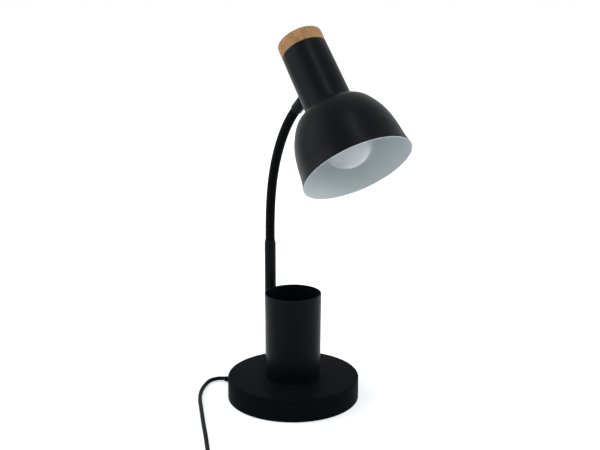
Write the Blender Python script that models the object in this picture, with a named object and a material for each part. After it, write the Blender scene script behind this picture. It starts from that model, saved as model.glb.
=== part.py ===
"""Desk lamp with a pen holder.

A round weighted base carries a cup for pens and, behind it, a rigid stem. A ribbed gooseneck
rises from the stem and holds a bell shade with a wooden cap. The mains cord leaves the base at
the back. Metres, +Z up, origin under the middle of the base, the head leans towards -Y.
"""

import math

import bmesh
import bpy
from mathutils import Matrix, Vector

# Fits shared by all pieces
FIT_GAP = 0.0003
CUT_OVERRUN = 0.001
MERGE_SPAN = 0.000001

# Facets round the turned pieces
BASE_SIDES = 56
CUP_SIDES = 40
SHADE_SIDES = 40
BULB_SIDES = 24
TUBE_SIDES = 20
NECK_SIDES = 12
SMALL_SIDES = 12
FILLET_STEPS = 3

# Base
BASE_RADIUS = 0.080
BASE_HEIGHT = 0.0284
BASE_WALL = 0.0025
BASE_EDGE_ROUND = 0.0022
BASE_RIM_ROUND = 0.0006
BASE_RIM_LIFT = 0.0008
FOOT_INSET = 0.022
FOOT_RADIUS = BASE_RADIUS - FOOT_INSET
FOOT_THICKNESS = 0.0016
FOOT_EDGE_ROUND = 0.0005
COVER_THICKNESS = 0.0015
WEIGHT_INSET = 0.037
WEIGHT_RADIUS = BASE_RADIUS - WEIGHT_INSET
WEIGHT_ROOM = 0.0134
WEIGHT_THICKNESS = BASE_HEIGHT - WEIGHT_ROOM
WEIGHT_EDGE_ROUND = 0.0015
BOSS_COUNT = 3
BOSS_FIRST_ANGLE = math.radians(30)
BOSS_INSET = 0.014
BOSS_CIRCLE = BASE_RADIUS - BOSS_INSET
BOSS_RADIUS = 0.0045
BOSS_RIB_THICKNESS = 0.0016
BOSS_RIB_HEIGHT = 0.014
PILOT_DEPTH = 0.010

# Screws
COVER_SCREW_RADIUS = 0.0015
COVER_SCREW_HEAD_RADIUS = 0.003
COVER_SCREW_HEAD_HEIGHT = 0.0012
COVER_SCREW_LENGTH = 0.008
HEAD_ROUND_SHARE = 0.5
TIP_SHARE = 0.6

# Cup for pens
CUP_RIM_RADIUS = 0.0341
CUP_FOOT_RADIUS = 0.0329
CUP_HEIGHT = 0.1045
CUP_WALL = 0.0012
CUP_FLOOR = 0.0016
CUP_FOOT_ROUND = 0.0012
CUP_RIM_ROUND = 0.0004
CUP_BOLT_RADIUS = 0.0025
CUP_BOLT_HEAD_RADIUS = 0.005
CUP_BOLT_HEAD_HEIGHT = 0.0024
CUP_BOLT_OUT = 0.0008
CUP_NUT_FLATS = 0.008
CUP_NUT_THICKNESS = 0.0032
CUP_WASHER_RADIUS = 0.007
CUP_WASHER_THICKNESS = 0.0008

# Stem
STEM_RADIUS = 0.0069
STEM_SPACE = 0.0095
STEM_PLACE_BACK = CUP_RIM_RADIUS + STEM_SPACE + STEM_RADIUS
STEM_TOP = 0.183
NIPPLE_RADIUS = 0.005
NIPPLE_BORE_RADIUS = 0.0032
NIPPLE_IN_STEM = 0.013
NIPPLE_OUT = 0.0008
LOCKNUT_FLATS = 0.014
LOCKNUT_THICKNESS = 0.0032
LOCKWASHER_RADIUS = 0.0085
LOCKWASHER_THICKNESS = 0.001
COLLAR_HEIGHT = 0.0055
COLLAR_TOP_RADIUS = 0.0060
COLLAR_SPIGOT = 0.012

# Gooseneck
NECK_RADIUS = 0.00575
NECK_BORE_RADIUS = 0.0030
NECK_GROOVE_DEPTH = 0.0004
NECK_SECTIONS = 6
NECK_SECTION_LENGTH = 0.0303
NECK_BEND_SHARES = (0.06, 0.12, 0.17, 0.18, 0.20, 0.27)
NECK_RIBS = 6
SEAT_RADIUS = 0.0075
SEAT_STEPS = 3

# Ferrule between gooseneck and head
FERRULE_RADIUS = 0.0069
FERRULE_LENGTH = 0.0292
FERRULE_CHAMFER = 0.0008
FERRULE_DROP = 0.0396

# Head, measured from its mouth along its own axis
HEAD_TILT = math.radians(40.88)
SHADE_MOUTH_RADIUS = 0.0632
SHADE_DOME_HEIGHT = 0.0786
SHADE_WALL = 0.0012
SHADE_ROOT_RADIUS = 0.0272
SHADE_ROOT_ROUND = 0.002
SHADE_TOP_RADIUS = 0.0264
SHADE_TOP_HEIGHT = 0.1546
DOME_HEIGHT_SHARES = (0.0, 0.08, 0.18, 0.30, 0.42, 0.53, 0.63, 0.72, 0.80, 0.87, 0.925, 0.967, 1.0)
DOME_DROP_SHARES = (0.0, 0.04, 0.075, 0.10, 0.14, 0.19, 0.26, 0.345, 0.44, 0.54, 0.66, 0.81, 1.0)
CAP_HEIGHT = 0.0160
CAP_FOOT_ROUND = 0.0006
CAP_TOP_ROUND = 0.0016
CAP_SCREW_RADIUS = 0.0019
CAP_SCREW_HEAD_RADIUS = 0.004
CAP_SCREW_HEAD_HEIGHT = 0.0022
CAP_SCREW_LENGTH = 0.012

# Bulb
BULB_RADIUS = 0.030
BULB_GLASS = 0.001
BULB_CENTRE_DROP = 0.1196
BULB_TAPER_START = math.radians(38)
BULB_TAPER_HEIGHT_SHARES = (0.30, 0.58, 0.82, 1.0)
BULB_TAPER_WIDTH_SHARES = (0.48, 0.20, 0.06, 0.0)
BULB_NECK_RADIUS = 0.0142
BULB_NECK_DROP = 0.0706
BULB_CAP_RADIUS = 0.0131
BULB_CAP_LENGTH = 0.022
BULB_CAP_ROUND = 0.0015
BULB_SEAL_RADIUS = 0.0105
BULB_SEAL_HEIGHT = 0.0038
BULB_TIP_RADIUS = 0.0046
BULB_TIP_HEIGHT = 0.0020

# Lampholder
SOCKET_GAP = 0.0004
SOCKET_WALL = 0.0004
CORE_RADIUS = 0.0156
CORE_SKIRT = 0.0200
CORE_DISC = 0.005
CONTACT_RADIUS = 0.004
CONTACT_HEIGHT = 0.0007
HOLDER_RADIUS = 0.0175
HOLDER_WALL = 0.0016
HOLDER_MOUTH_DROP = 0.0701
HOLDER_SHOULDER_DROP = 0.0351
HOLDER_TOP_DROP = 0.0256
HOLDER_TOP_RADIUS = 0.0085
HOLDER_SHOULDER_ROUND = 0.007
HOLDER_SLOT_WIDTH = 0.0076
HOLDER_SLOT_LOW_DROP = 0.0386
HOLDER_SLOT_HIGH_DROP = 0.0324
HOLDER_NIPPLE_LENGTH = 0.0105
BRACKET_THICKNESS = 0.0015
BRACKET_WIDTH = 0.014
BRACKET_OUT = 0.0240
BRACKET_FOOT_DROP = 0.0476
BRACKET_PAST_AXIS = 0.008
WIRE_RADIUS = 0.0007
WIRE_POINT_SPACING = 4 * WIRE_RADIUS

# Heights in the head over the shade's mouth
FERRULE_AT = SHADE_TOP_HEIGHT - FERRULE_DROP
BULB_CENTRE_AT = SHADE_TOP_HEIGHT - BULB_CENTRE_DROP
BULB_NECK_AT = SHADE_TOP_HEIGHT - BULB_NECK_DROP
HOLDER_MOUTH_AT = SHADE_TOP_HEIGHT - HOLDER_MOUTH_DROP
HOLDER_SHOULDER_AT = SHADE_TOP_HEIGHT - HOLDER_SHOULDER_DROP
HOLDER_TOP_AT = SHADE_TOP_HEIGHT - HOLDER_TOP_DROP
HOLDER_SLOT_LOW = SHADE_TOP_HEIGHT - HOLDER_SLOT_LOW_DROP
HOLDER_SLOT_HIGH = SHADE_TOP_HEIGHT - HOLDER_SLOT_HIGH_DROP
BRACKET_FOOT_AT = SHADE_TOP_HEIGHT - BRACKET_FOOT_DROP

# Mains cord
CORD_DIAMETER = 0.005
CORD_EXIT_ANGLE = math.radians(120)
CORD_EXIT_HEIGHT = 0.005
RELIEF_LENGTH = 0.0160
RELIEF_ROOT_RADIUS = 0.0043
RELIEF_TIP_RADIUS = 0.0032
RELIEF_NECK_RADIUS = 0.0034
RELIEF_FLANGE_RADIUS = 0.0046
RELIEF_FLANGE_THICKNESS = 0.0015
RELIEF_FLANGE_FLAT = 0.0003
RELIEF_GROOVES = 4
RELIEF_GROOVE_DEPTH = 0.0005
CORD_POINT_SPACING = 2.4 * CORD_DIAMETER
CORD_RESOLUTION = 2
LEAD_RESOLUTION = 1

# In-line switch
SWITCH_LENGTH = 0.0554
SWITCH_WIDTH = 0.022
SWITCH_END_WIDTH = 0.011
SWITCH_HEIGHT = 0.0130
SWITCH_SPLIT_HEIGHT = 0.0066
SWITCH_CORNER_ROUND = 0.005
SWITCH_EDGE_ROUND = 0.0012
ROCKER_HALF_LENGTH = 0.0075
ROCKER_HALF_WIDTH = 0.0045
ROCKER_DEPTH = 0.0024
ROCKER_WING_HEIGHT = 0.0034
ROCKER_MIDDLE_HEIGHT = 0.0020
ROCKER_PIVOT_HEIGHT = 0.0104
ROCKER_STUB_RADIUS = 0.001
ROCKER_STUB_LENGTH = 0.0012
ROCKER_REST_TILT = math.radians(8)
SWITCH_SCREW_SPREAD = 0.018
SWITCH_SCREW_RADIUS = 0.0012
SWITCH_SCREW_HEAD_RADIUS = 0.0025
SWITCH_SCREW_HEAD_HEIGHT = 0.0014
SWITCH_SCREW_LENGTH = 0.0075
SWITCH_SCREW_SINK = 0.0012

# Coil of the spare cord
COIL_CENTRE = (-0.1150, -0.1901)
COIL_INNER_RADIUS = 0.0210
COIL_PITCH = 0.0055
COIL_TURNS = 6.5
COIL_START_ANGLE = math.radians(-123.75)
COIL_LOOP_POINTS = 24
COIL_LIFT = 0.0011
TIE_WIDTH = 0.005
TIE_THICKNESS = 0.0008
TIE_CORNER_ROUND = 0.0025
TIE_ANGLE = math.radians(-33.75)

# Plug
PLUG_HALF_THICKNESS = 0.00685
PLUG_STATIONS = (
    # share of the plug's length, share of its half width, share of its half thickness
    (0.00, 0.19, 0.48),
    (0.22, 0.23, 0.58),
    (0.34, 0.26, 0.64),
    (0.42, 0.52, 0.78),
    (0.55, 0.66, 0.88),
    (0.80, 0.86, 0.97),
    (0.94, 1.00, 1.00),
    (1.00, 0.97, 0.94),
)
PLUG_LENGTH = 0.042
PLUG_HALF_WIDTH = 0.0172
PLUG_SIDES = 20
PLUG_SQUARENESS = 0.55
PIN_RADIUS = 0.002
PIN_LENGTH = 0.019
PIN_SPREAD = 0.0186
PIN_ROUND = 0.0012

# Route of a lampholder wire across, behind the head's axis and up from the ferrule, hand-chosen points
WIRE_ROUTE = (
    (0.0014, 0.0297, 0.0000), (0.0014, 0.0230, 0.0002), (0.0012, 0.0190, 0.0009), (0.0013, 0.0175, 0.0021),
    (0.0016, 0.0166, 0.0044), (0.0020, 0.0152, 0.0056), (0.0026, 0.0125, 0.0062), (0.0030, 0.0100, 0.0063),
)

# Route of the lead inside the base, hand-chosen points
BASE_LEAD_ROUTE = (
    (-0.0352, 0.0610, 0.0054), (-0.0325, 0.0570, 0.0062), (-0.0280, 0.0545, 0.0068),
    (-0.0220, 0.0526, 0.0076), (-0.0150, 0.0513, 0.0086), (-0.0090, 0.0508, 0.0102),
    (-0.0045, 0.0506, 0.0126), (-0.0015, 0.0505, 0.0160), (-0.0002, 0.0505, 0.0200),
)

# Routes of the cord, hand-chosen points
LEAD_ROUTE = (
    (-0.0500, 0.0866, 0.0047), (-0.0533, 0.0902, 0.0037), (-0.0606, 0.0938, 0.0029),
    (-0.0688, 0.0941, 0.0026), (-0.0764, 0.0911, 0.0026), (-0.0825, 0.0845, 0.0026),
    (-0.0886, 0.0750, 0.0026), (-0.0985, 0.0600, 0.0026), (-0.1068, 0.0450, 0.0026),
    (-0.1168, 0.0240, 0.0026), (-0.1268, 0.0020, 0.0026), (-0.1352, -0.0170, 0.0026),
    (-0.1436, -0.0350, 0.0026), (-0.1530, -0.0550, 0.0026), (-0.1625, -0.0748, 0.0027),
    (-0.1680, -0.0862, 0.0036), (-0.1764, -0.1010, 0.0062),
)
RUN_ROUTE = (
    (-0.2075, -0.1476, 0.0062), (-0.2173, -0.1627, 0.0034), (-0.2214, -0.1719, 0.0026),
    (-0.2223, -0.1822, 0.0026), (-0.2193, -0.1918, 0.0026), (-0.2127, -0.1995, 0.0026),
    (-0.2030, -0.2047, 0.0026), (-0.1918, -0.2079, 0.0026), (-0.1793, -0.2090, 0.0027),
    (-0.1658, -0.2103, 0.0031), (-0.1535, -0.2135, 0.0035),
)
TAIL_ROUTE = (
    (-0.1084, -0.1479, 0.0090), (-0.1190, -0.1420, 0.0085), (-0.1294, -0.1379, 0.0079),
    (-0.1405, -0.1364, 0.0073), (-0.1512, -0.1389, 0.0070), (-0.1585, -0.1443, 0.0069),
    (-0.1621, -0.1490, 0.00685),
)


def finish(name, colour, roughness, metallic=0.0):
    """Returns a plain material."""
    material = bpy.data.materials.new(name)
    material.use_nodes = True
    shader = material.node_tree.nodes["Principled BSDF"]
    shader.inputs["Base Color"].default_value = (*colour, 1.0)
    shader.inputs["Roughness"].default_value = roughness
    shader.inputs["Metallic"].default_value = metallic
    return material


def make_finishes():
    """Returns the lamp's finishes by name."""
    return {
        "black_paint": finish("black_paint", (0.020, 0.021, 0.024), 0.5),
        "black_plastic": finish("black_plastic", (0.022, 0.022, 0.023), 0.55),
        "wood": finish("wood", (0.58, 0.33, 0.15), 0.5),
        "frosted_glass": finish("frosted_glass", (0.80, 0.82, 0.82), 0.35),
        "steel": finish("steel", (0.55, 0.55, 0.56), 0.35, 1.0),
        "brass": finish("brass", (0.70, 0.52, 0.24), 0.35, 1.0),
        "cast_iron": finish("cast_iron", (0.12, 0.12, 0.13), 0.7, 1.0),
        "foam": finish("foam", (0.03, 0.03, 0.03), 0.9),
        "ceramic": finish("ceramic", (0.80, 0.78, 0.72), 0.4),
        "rubber": finish("rubber", (0.012, 0.012, 0.013), 0.6),
        "wire": finish("wire", (0.10, 0.20, 0.45), 0.5),
    }


def clear_scene():
    """Removes what the scene holds at the start."""
    for item in list(bpy.data.objects):
        bpy.data.objects.remove(item, do_unlink=True)


class Pivot:
    """An empty that carries the pieces of one moving body."""

    def __init__(self, name, place, parent=None):
        self.place = place
        self.empty = bpy.data.objects.new(name, None)
        bpy.context.collection.objects.link(self.empty)
        if parent:
            parent.carry(self.empty, place)
        else:
            self.empty.matrix_basis = place

    def carry(self, item, place):
        """Parents an object that stands at place in the world."""
        item.parent = self.empty
        item.matrix_basis = self.place.inverted() @ place


def at(x=0.0, y=0.0, z=0.0):
    """Returns a plain shift."""
    return Matrix.Translation((x, y, z))


def along(origin, direction, side=(1.0, 0.0, 0.0)):
    """Returns a frame at origin whose +Z runs along direction and whose +X is near side."""
    axis = Vector(direction).normalized()
    across = axis.cross(Vector(side)).normalized()
    turn = Matrix((across.cross(axis), across, axis)).transposed()
    return Matrix.Translation(origin) @ turn.to_4x4()


def add_object(name, mesh, pivot, place, material):
    """Links a mesh as a named object on its pivot."""
    item = bpy.data.objects.new(name, mesh)
    bpy.context.collection.objects.link(item)
    pivot.carry(item, place)
    if material:
        mesh.materials.append(material)
    return item


def close_mesh(name, bm):
    """Turns an edited mesh into mesh data with outward faces and smooth round sides."""
    bmesh.ops.remove_doubles(bm, verts=bm.verts, dist=MERGE_SPAN)
    bmesh.ops.recalc_face_normals(bm, faces=bm.faces)
    mesh = bpy.data.meshes.new(name)
    bm.to_mesh(mesh)
    bm.free()
    mesh.shade_smooth()
    mesh.set_sharp_from_angle(angle=math.radians(35))
    return mesh


def rounded(corners, steps=FILLET_STEPS):
    """Returns an outline's points. A corner with a third value is rounded to that radius."""
    points = []
    for index, corner in enumerate(corners):
        here = Vector(corner[:2])
        if len(corner) < 3:
            points.append(here)
            continue
        before = (Vector(corners[index - 1][:2]) - here).normalized()
        after = (Vector(corners[(index + 1) % len(corners)][:2]) - here).normalized()
        half = before.angle(after) / 2
        centre = here + (before + after).normalized() * (corner[2] / math.sin(half))
        start = here + before * (corner[2] / math.tan(half)) - centre
        end = here + after * (corner[2] / math.tan(half)) - centre
        turn = start.angle_signed(end)
        for step in range(steps + 1):
            points.append(centre + Matrix.Rotation(-turn * step / steps, 2) @ start)
    return points


def turned_mesh(name, points, sides):
    """Returns the solid that an outline of (radius, height) points sweeps round +Z."""
    bm = bmesh.new()
    verts = [bm.verts.new((point[0], 0.0, point[1])) for point in points]
    edges = [bm.edges.new(pair) for pair in zip(verts, verts[1:])]
    if points[0][0] > MERGE_SPAN:
        edges.append(bm.edges.new((verts[-1], verts[0])))
    bmesh.ops.spin(bm, geom=verts + edges, cent=(0, 0, 0), axis=(0, 0, 1), angle=math.tau, steps=sides,
                   use_merge=True)
    return close_mesh(name, bm)


def turned(name, corners, sides, pivot, place, material, steps=FILLET_STEPS):
    """Adds a turned piece. Its outline starts and ends on the axis, or closes on itself."""
    return add_object(name, turned_mesh(name, rounded(corners, steps), sides), pivot, place, material)


def ring(place, radius, sides):
    """Returns a circle of points in the XY plane of a frame."""
    return [
        place @ Vector((radius * math.cos(math.tau * step / sides),
                        radius * math.sin(math.tau * step / sides), 0.0))
        for step in range(sides)
    ]


def lofted_mesh(name, rings, joined=False):
    """Returns the solid through rings of points, closed by its ends or joined end to end."""
    bm = bmesh.new()
    rows = [[bm.verts.new(point) for point in points] for points in rings]
    for low, high in zip(rows, rows[1:] + rows[:1] if joined else rows[1:]):
        for step in range(len(low)):
            after = (step + 1) % len(low)
            bm.faces.new((low[step], low[after], high[after], high[step]))
    if not joined:
        bm.faces.new(rows[0][::-1])
        bm.faces.new(rows[-1])
    return close_mesh(name, bm)


def extruded_mesh(name, points, low, high):
    """Returns an outline in XY drawn up from one height to another."""
    bottom = [Vector((point[0], point[1], low)) for point in points]
    top = [Vector((point[0], point[1], high)) for point in points]
    return lofted_mesh(name, [bottom, top])


def box_points(width, depth):
    """Returns the corners of a centred rectangle."""
    return [(-width / 2, -depth / 2), (width / 2, -depth / 2), (width / 2, depth / 2),
            (-width / 2, depth / 2)]


def combine(target, tool, operation="DIFFERENCE"):
    """Cuts a hidden tool from a piece, or joins it to the piece."""
    tool.hide_render = True
    tool.display_type = "WIRE"
    step = target.modifiers.new(tool.name, "BOOLEAN")
    step.operation = operation
    step.solver = "EXACT"
    step.object = tool


def drill(target, name, radius, low, high, pivot, place, sides=SMALL_SIDES):
    """Drills a round hole along +Z of a frame."""
    mesh = extruded_mesh(name, [point[:2] for point in ring(Matrix(), radius, sides)], low, high)
    combine(target, add_object(name, mesh, pivot, place, None))


def screw(name, radius, head_radius, head_height, length, pivot, place, material):
    """Adds a pan-head screw whose head stands below the frame's origin and whose shank runs up."""
    corners = [
        (0.0, -head_height),
        (head_radius, -head_height, head_height * HEAD_ROUND_SHARE),
        (head_radius, 0.0),
        (radius, 0.0),
        (radius, length - radius),
        (radius * TIP_SHARE, length),
        (0.0, length),
    ]
    return turned(name, corners, SMALL_SIDES, pivot, place, material, steps=2)


def hex_nut(name, flats, hole_radius, thickness, pivot, place, material):
    """Adds a hexagon nut that stands up from the frame's origin."""
    outer = []
    for step in range(SMALL_SIDES):
        reach = flats / 2 / (math.cos(math.tau / 12) if step % 2 == 0 else 1.0)
        angle = math.tau * step / SMALL_SIDES
        outer.append((reach * math.cos(angle), reach * math.sin(angle)))
    inner = [point[:2] for point in ring(Matrix(), hole_radius, SMALL_SIDES)]
    rings = [
        [Vector((*point, height)) for point in outline]
        for outline, height in ((outer, 0.0), (outer, thickness), (inner, thickness), (inner, 0.0))
    ]
    return add_object(name, lofted_mesh(name, rings, joined=True), pivot, place, material)


def washer(name, radius, hole_radius, thickness, pivot, place, material):
    """Adds a flat ring that stands up from the frame's origin."""
    corners = [(hole_radius, thickness), (radius, thickness), (radius, 0.0), (hole_radius, 0.0)]
    return turned(name, corners, TUBE_SIDES, pivot, place, material)


def smooth_curve(points, spacing):
    """Returns evenly spaced points on a smooth curve through hand-chosen ones."""
    knots = [Vector(point) for point in points]
    knots = [knots[0] * 2 - knots[1], *knots, knots[-1] * 2 - knots[-2]]
    fine = []
    steps = 24
    for a, b, c, d in zip(knots, knots[1:], knots[2:], knots[3:]):
        for step in range(steps):
            t = step / steps
            fine.append(0.5 * (
                2 * b + (c - a) * t + (2 * a - 5 * b + 4 * c - d) * t**2 + (3 * b - a - 3 * c + d) * t**3
            ))
    fine.append(knots[-2])
    lengths = [0.0]
    for a, b in zip(fine, fine[1:]):
        lengths.append(lengths[-1] + (b - a).length)
    count = max(2, round(lengths[-1] / spacing))
    even = []
    index = 0
    for step in range(count + 1):
        goal = lengths[-1] * step / count
        while index < len(fine) - 2 and lengths[index + 1] < goal:
            index += 1
        share = (goal - lengths[index]) / (lengths[index + 1] - lengths[index])
        even.append(fine[index].lerp(fine[index + 1], share))
    return even


def path_length(points):
    """Returns the length of a line through points."""
    return sum((b - a).length for a, b in zip(points, points[1:]))


def tube(name, points, radius, resolution, pivot, material):
    """Adds a round tube with closed ends along points given in the world."""
    curve = bpy.data.curves.new(name, "CURVE")
    curve.dimensions = "3D"
    curve.bevel_depth = radius
    curve.bevel_resolution = resolution
    curve.use_fill_caps = True
    spline = curve.splines.new("POLY")
    spline.points.add(len(points) - 1)
    for knot, point in zip(spline.points, points):
        knot.co = (*point, 1.0)
    item = bpy.data.objects.new(name, curve)
    bpy.context.collection.objects.link(item)
    pivot.carry(item, Matrix())
    curve.materials.append(material)
    return item


def cord_exit_frame():
    """Returns the frame at the base's axis whose +Z points out of the cord's hole."""
    outward = Vector((math.cos(CORD_EXIT_ANGLE), math.sin(CORD_EXIT_ANGLE), 0.0))
    return along((0.0, 0.0, CORD_EXIT_HEIGHT), outward, side=(0.0, 0.0, -1.0))


def make_base(root, finishes):
    """Adds the housing, its cover, weight, foot and screws."""
    underside = BASE_HEIGHT - BASE_WALL
    inner_radius = BASE_RADIUS - BASE_WALL
    bolt_hole = CUP_BOLT_RADIUS + FIT_GAP
    housing = turned(
        "base_housing",
        [
            (bolt_hole, BASE_HEIGHT),
            (BASE_RADIUS, BASE_HEIGHT, BASE_EDGE_ROUND),
            (BASE_RADIUS, BASE_RIM_LIFT, BASE_RIM_ROUND),
            (inner_radius, BASE_RIM_LIFT),
            (inner_radius, underside),
            (bolt_hole, underside),
        ],
        BASE_SIDES, root, Matrix(), finishes["black_paint"],
    )
    cover_low = FOOT_THICKNESS + FIT_GAP
    cover_high = cover_low + COVER_THICKNESS
    cover = turned(
        "base_cover",
        [(0.0, cover_high), (inner_radius - FIT_GAP, cover_high), (inner_radius - FIT_GAP, cover_low),
         (0.0, cover_low)],
        BASE_SIDES, root, Matrix(), finishes["steel"],
    )
    turned(
        "foot_pad",
        [(0.0, FOOT_THICKNESS), (FOOT_RADIUS, FOOT_THICKNESS), (FOOT_RADIUS, 0.0, FOOT_EDGE_ROUND),
         (0.0, 0.0)],
        CUP_SIDES, root, Matrix(), finishes["foam"],
    )
    weight_low = cover_high + FIT_GAP
    turned(
        "base_weight",
        [
            (0.0, weight_low + WEIGHT_THICKNESS),
            (WEIGHT_RADIUS, weight_low + WEIGHT_THICKNESS, WEIGHT_EDGE_ROUND),
            (WEIGHT_RADIUS, weight_low, WEIGHT_EDGE_ROUND),
            (0.0, weight_low),
        ],
        CUP_SIDES, root, Matrix(), finishes["cast_iron"],
    )
    boss_low = cover_high + FIT_GAP
    for count in range(BOSS_COUNT):
        angle = BOSS_FIRST_ANGLE + math.tau * count / BOSS_COUNT
        place = Matrix.Rotation(angle, 4, "Z") @ at(x=BOSS_CIRCLE)
        label = f"boss_{count + 1}"
        boss = extruded_mesh(label, [p[:2] for p in ring(Matrix(), BOSS_RADIUS, SMALL_SIDES)], boss_low,
                             underside + BASE_WALL / 2)
        combine(housing, add_object(label, boss, root, place, None), "UNION")
        reach = inner_radius + BASE_WALL / 2 - BOSS_CIRCLE
        rib = extruded_mesh(f"{label}_rib", box_points(reach, BOSS_RIB_THICKNESS),
                            underside - BOSS_RIB_HEIGHT, underside + BASE_WALL / 2)
        combine(housing, add_object(f"{label}_rib", rib, root, place @ at(x=reach / 2), None), "UNION")
        pilot = COVER_SCREW_RADIUS + FIT_GAP
        drill(housing, f"{label}_pilot", pilot, boss_low - CUT_OVERRUN, boss_low + PILOT_DEPTH, root, place)
        drill(cover, f"cover_hole_{count + 1}", pilot, cover_low - CUT_OVERRUN, cover_high + CUT_OVERRUN,
              root, place)
        screw(f"cover_screw_{count + 1}", COVER_SCREW_RADIUS, COVER_SCREW_HEAD_RADIUS,
              COVER_SCREW_HEAD_HEIGHT, COVER_SCREW_LENGTH, root, place @ at(z=cover_low - FIT_GAP),
              finishes["steel"])
    drill(housing, "stem_hole", NIPPLE_RADIUS + FIT_GAP, underside - CUT_OVERRUN, BASE_HEIGHT + CUT_OVERRUN,
          root, at(y=STEM_PLACE_BACK))
    cut_cord_slot(root, housing, cover, cover_high)


def cut_cord_slot(root, housing, cover, cover_high):
    """Cuts the slot in the wall that the strain relief drops into, and its notch in the cover."""
    exit_frame = cord_exit_frame()
    inner_radius = BASE_RADIUS - BASE_WALL
    slot_radius = RELIEF_NECK_RADIUS + FIT_GAP
    drill(housing, "cord_slot_round", slot_radius, inner_radius - BASE_WALL, BASE_RADIUS + CUT_OVERRUN, root,
          exit_frame, sides=TUBE_SIDES)
    depth = 2 * BASE_WALL + CUT_OVERRUN
    turn = Matrix.Rotation(CORD_EXIT_ANGLE, 4, "Z")
    place = turn @ at(x=inner_radius - BASE_WALL + depth / 2)
    slot = extruded_mesh("cord_slot_gate", box_points(depth, 2 * slot_radius), -CUT_OVERRUN, CORD_EXIT_HEIGHT)
    combine(housing, add_object("cord_slot_gate", slot, root, place, None))
    flange_space = RELIEF_FLANGE_RADIUS + 2 * FIT_GAP
    notch_reach = 4 * BASE_WALL
    notch = extruded_mesh("cover_notch", box_points(2 * notch_reach, 2 * flange_space), -CUT_OVERRUN,
                          cover_high + CUT_OVERRUN)
    combine(cover, add_object("cover_notch", notch, root, turn @ at(x=inner_radius), None))


def make_cup(root, finishes):
    """Adds the cup for pens and the bolt, washer and nut that hold it to the base."""
    low = BASE_HEIGHT + FIT_GAP
    floor_top = low + CUP_FLOOR
    top = low + CUP_HEIGHT
    bolt_hole = CUP_BOLT_RADIUS + FIT_GAP
    turned(
        "pen_cup",
        [
            (CUP_FOOT_RADIUS, low, CUP_FOOT_ROUND),
            (CUP_RIM_RADIUS, top, CUP_RIM_ROUND),
            (CUP_RIM_RADIUS - CUP_WALL, top, CUP_RIM_ROUND),
            (CUP_FOOT_RADIUS - CUP_WALL, floor_top, CUP_FOOT_ROUND),
            (bolt_hole, floor_top),
            (bolt_hole, low),
        ],
        CUP_SIDES, root, Matrix(), finishes["black_paint"], steps=2,
    )
    washer_top = BASE_HEIGHT - BASE_WALL - FIT_GAP
    nut_top = washer_top - CUP_WASHER_THICKNESS - FIT_GAP
    nut_low = nut_top - CUP_NUT_THICKNESS
    head_seat = floor_top + FIT_GAP
    flipped = at(z=head_seat) @ Matrix.Rotation(math.pi, 4, "X")
    screw("cup_bolt", CUP_BOLT_RADIUS, CUP_BOLT_HEAD_RADIUS, CUP_BOLT_HEAD_HEIGHT,
          head_seat - nut_low + CUP_BOLT_OUT, root, flipped, finishes["steel"])
    washer("cup_washer", CUP_WASHER_RADIUS, bolt_hole, CUP_WASHER_THICKNESS, root,
           at(z=washer_top - CUP_WASHER_THICKNESS), finishes["steel"])
    hex_nut("cup_nut", CUP_NUT_FLATS, bolt_hole, CUP_NUT_THICKNESS, root, at(z=nut_low), finishes["steel"])


def make_stem(root, finishes):
    """Adds the stem, the hollow threaded rod that holds it to the base, and the collar on its top."""
    place = at(y=STEM_PLACE_BACK)
    low = BASE_HEIGHT + FIT_GAP
    bore = NIPPLE_RADIUS + FIT_GAP
    turned(
        "stem_tube",
        [(STEM_RADIUS, STEM_TOP), (STEM_RADIUS, low), (bore, low), (bore, STEM_TOP)],
        TUBE_SIDES, root, place, finishes["black_paint"],
    )
    washer_top = BASE_HEIGHT - BASE_WALL - FIT_GAP
    nut_top = washer_top - LOCKWASHER_THICKNESS - FIT_GAP
    nut_low = nut_top - LOCKNUT_THICKNESS
    washer("stem_washer", LOCKWASHER_RADIUS, bore, LOCKWASHER_THICKNESS, root,
           place @ at(z=washer_top - LOCKWASHER_THICKNESS), finishes["steel"])
    hex_nut("stem_nut", LOCKNUT_FLATS, bore, LOCKNUT_THICKNESS, root, place @ at(z=nut_low),
            finishes["steel"])
    nipple_low = nut_low - NIPPLE_OUT
    nipple_high = low + NIPPLE_IN_STEM
    turned(
        "stem_nipple",
        [
            (NIPPLE_RADIUS, nipple_high), (NIPPLE_RADIUS, nipple_low),
            (NIPPLE_BORE_RADIUS, nipple_low), (NIPPLE_BORE_RADIUS, nipple_high),
        ],
        TUBE_SIDES, root, place, finishes["steel"],
    )
    collar_low = STEM_TOP + FIT_GAP
    turned(
        "stem_collar",
        [
            (COLLAR_TOP_RADIUS, collar_low + COLLAR_HEIGHT), (STEM_RADIUS, collar_low),
            (NIPPLE_RADIUS, collar_low), (NIPPLE_RADIUS, collar_low - COLLAR_SPIGOT),
            (NIPPLE_BORE_RADIUS, collar_low - COLLAR_SPIGOT),
            (NIPPLE_BORE_RADIUS, collar_low + COLLAR_HEIGHT),
        ],
        TUBE_SIDES, root, place, finishes["black_paint"],
    )


def neck_frame(length):
    """Returns the frame on the gooseneck's centre line at a length from its foot, +Z along the line."""
    whole_bend = math.pi / 2 - HEAD_TILT
    forward = 0.0
    height = STEM_TOP + COLLAR_HEIGHT + 2 * FIT_GAP
    angle = 0.0
    left = length
    for share in NECK_BEND_SHARES:
        bend = whole_bend * share
        run = min(left, NECK_SECTION_LENGTH)
        turn = bend * run / NECK_SECTION_LENGTH
        radius = NECK_SECTION_LENGTH / bend
        forward += radius * (math.cos(angle) - math.cos(angle + turn))
        height += radius * (math.sin(angle + turn) - math.sin(angle))
        angle += turn
        left -= run
        if left <= 0.0:
            break
    return at(y=STEM_PLACE_BACK - forward, z=height) @ Matrix.Rotation(angle, 4, "X")


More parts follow.
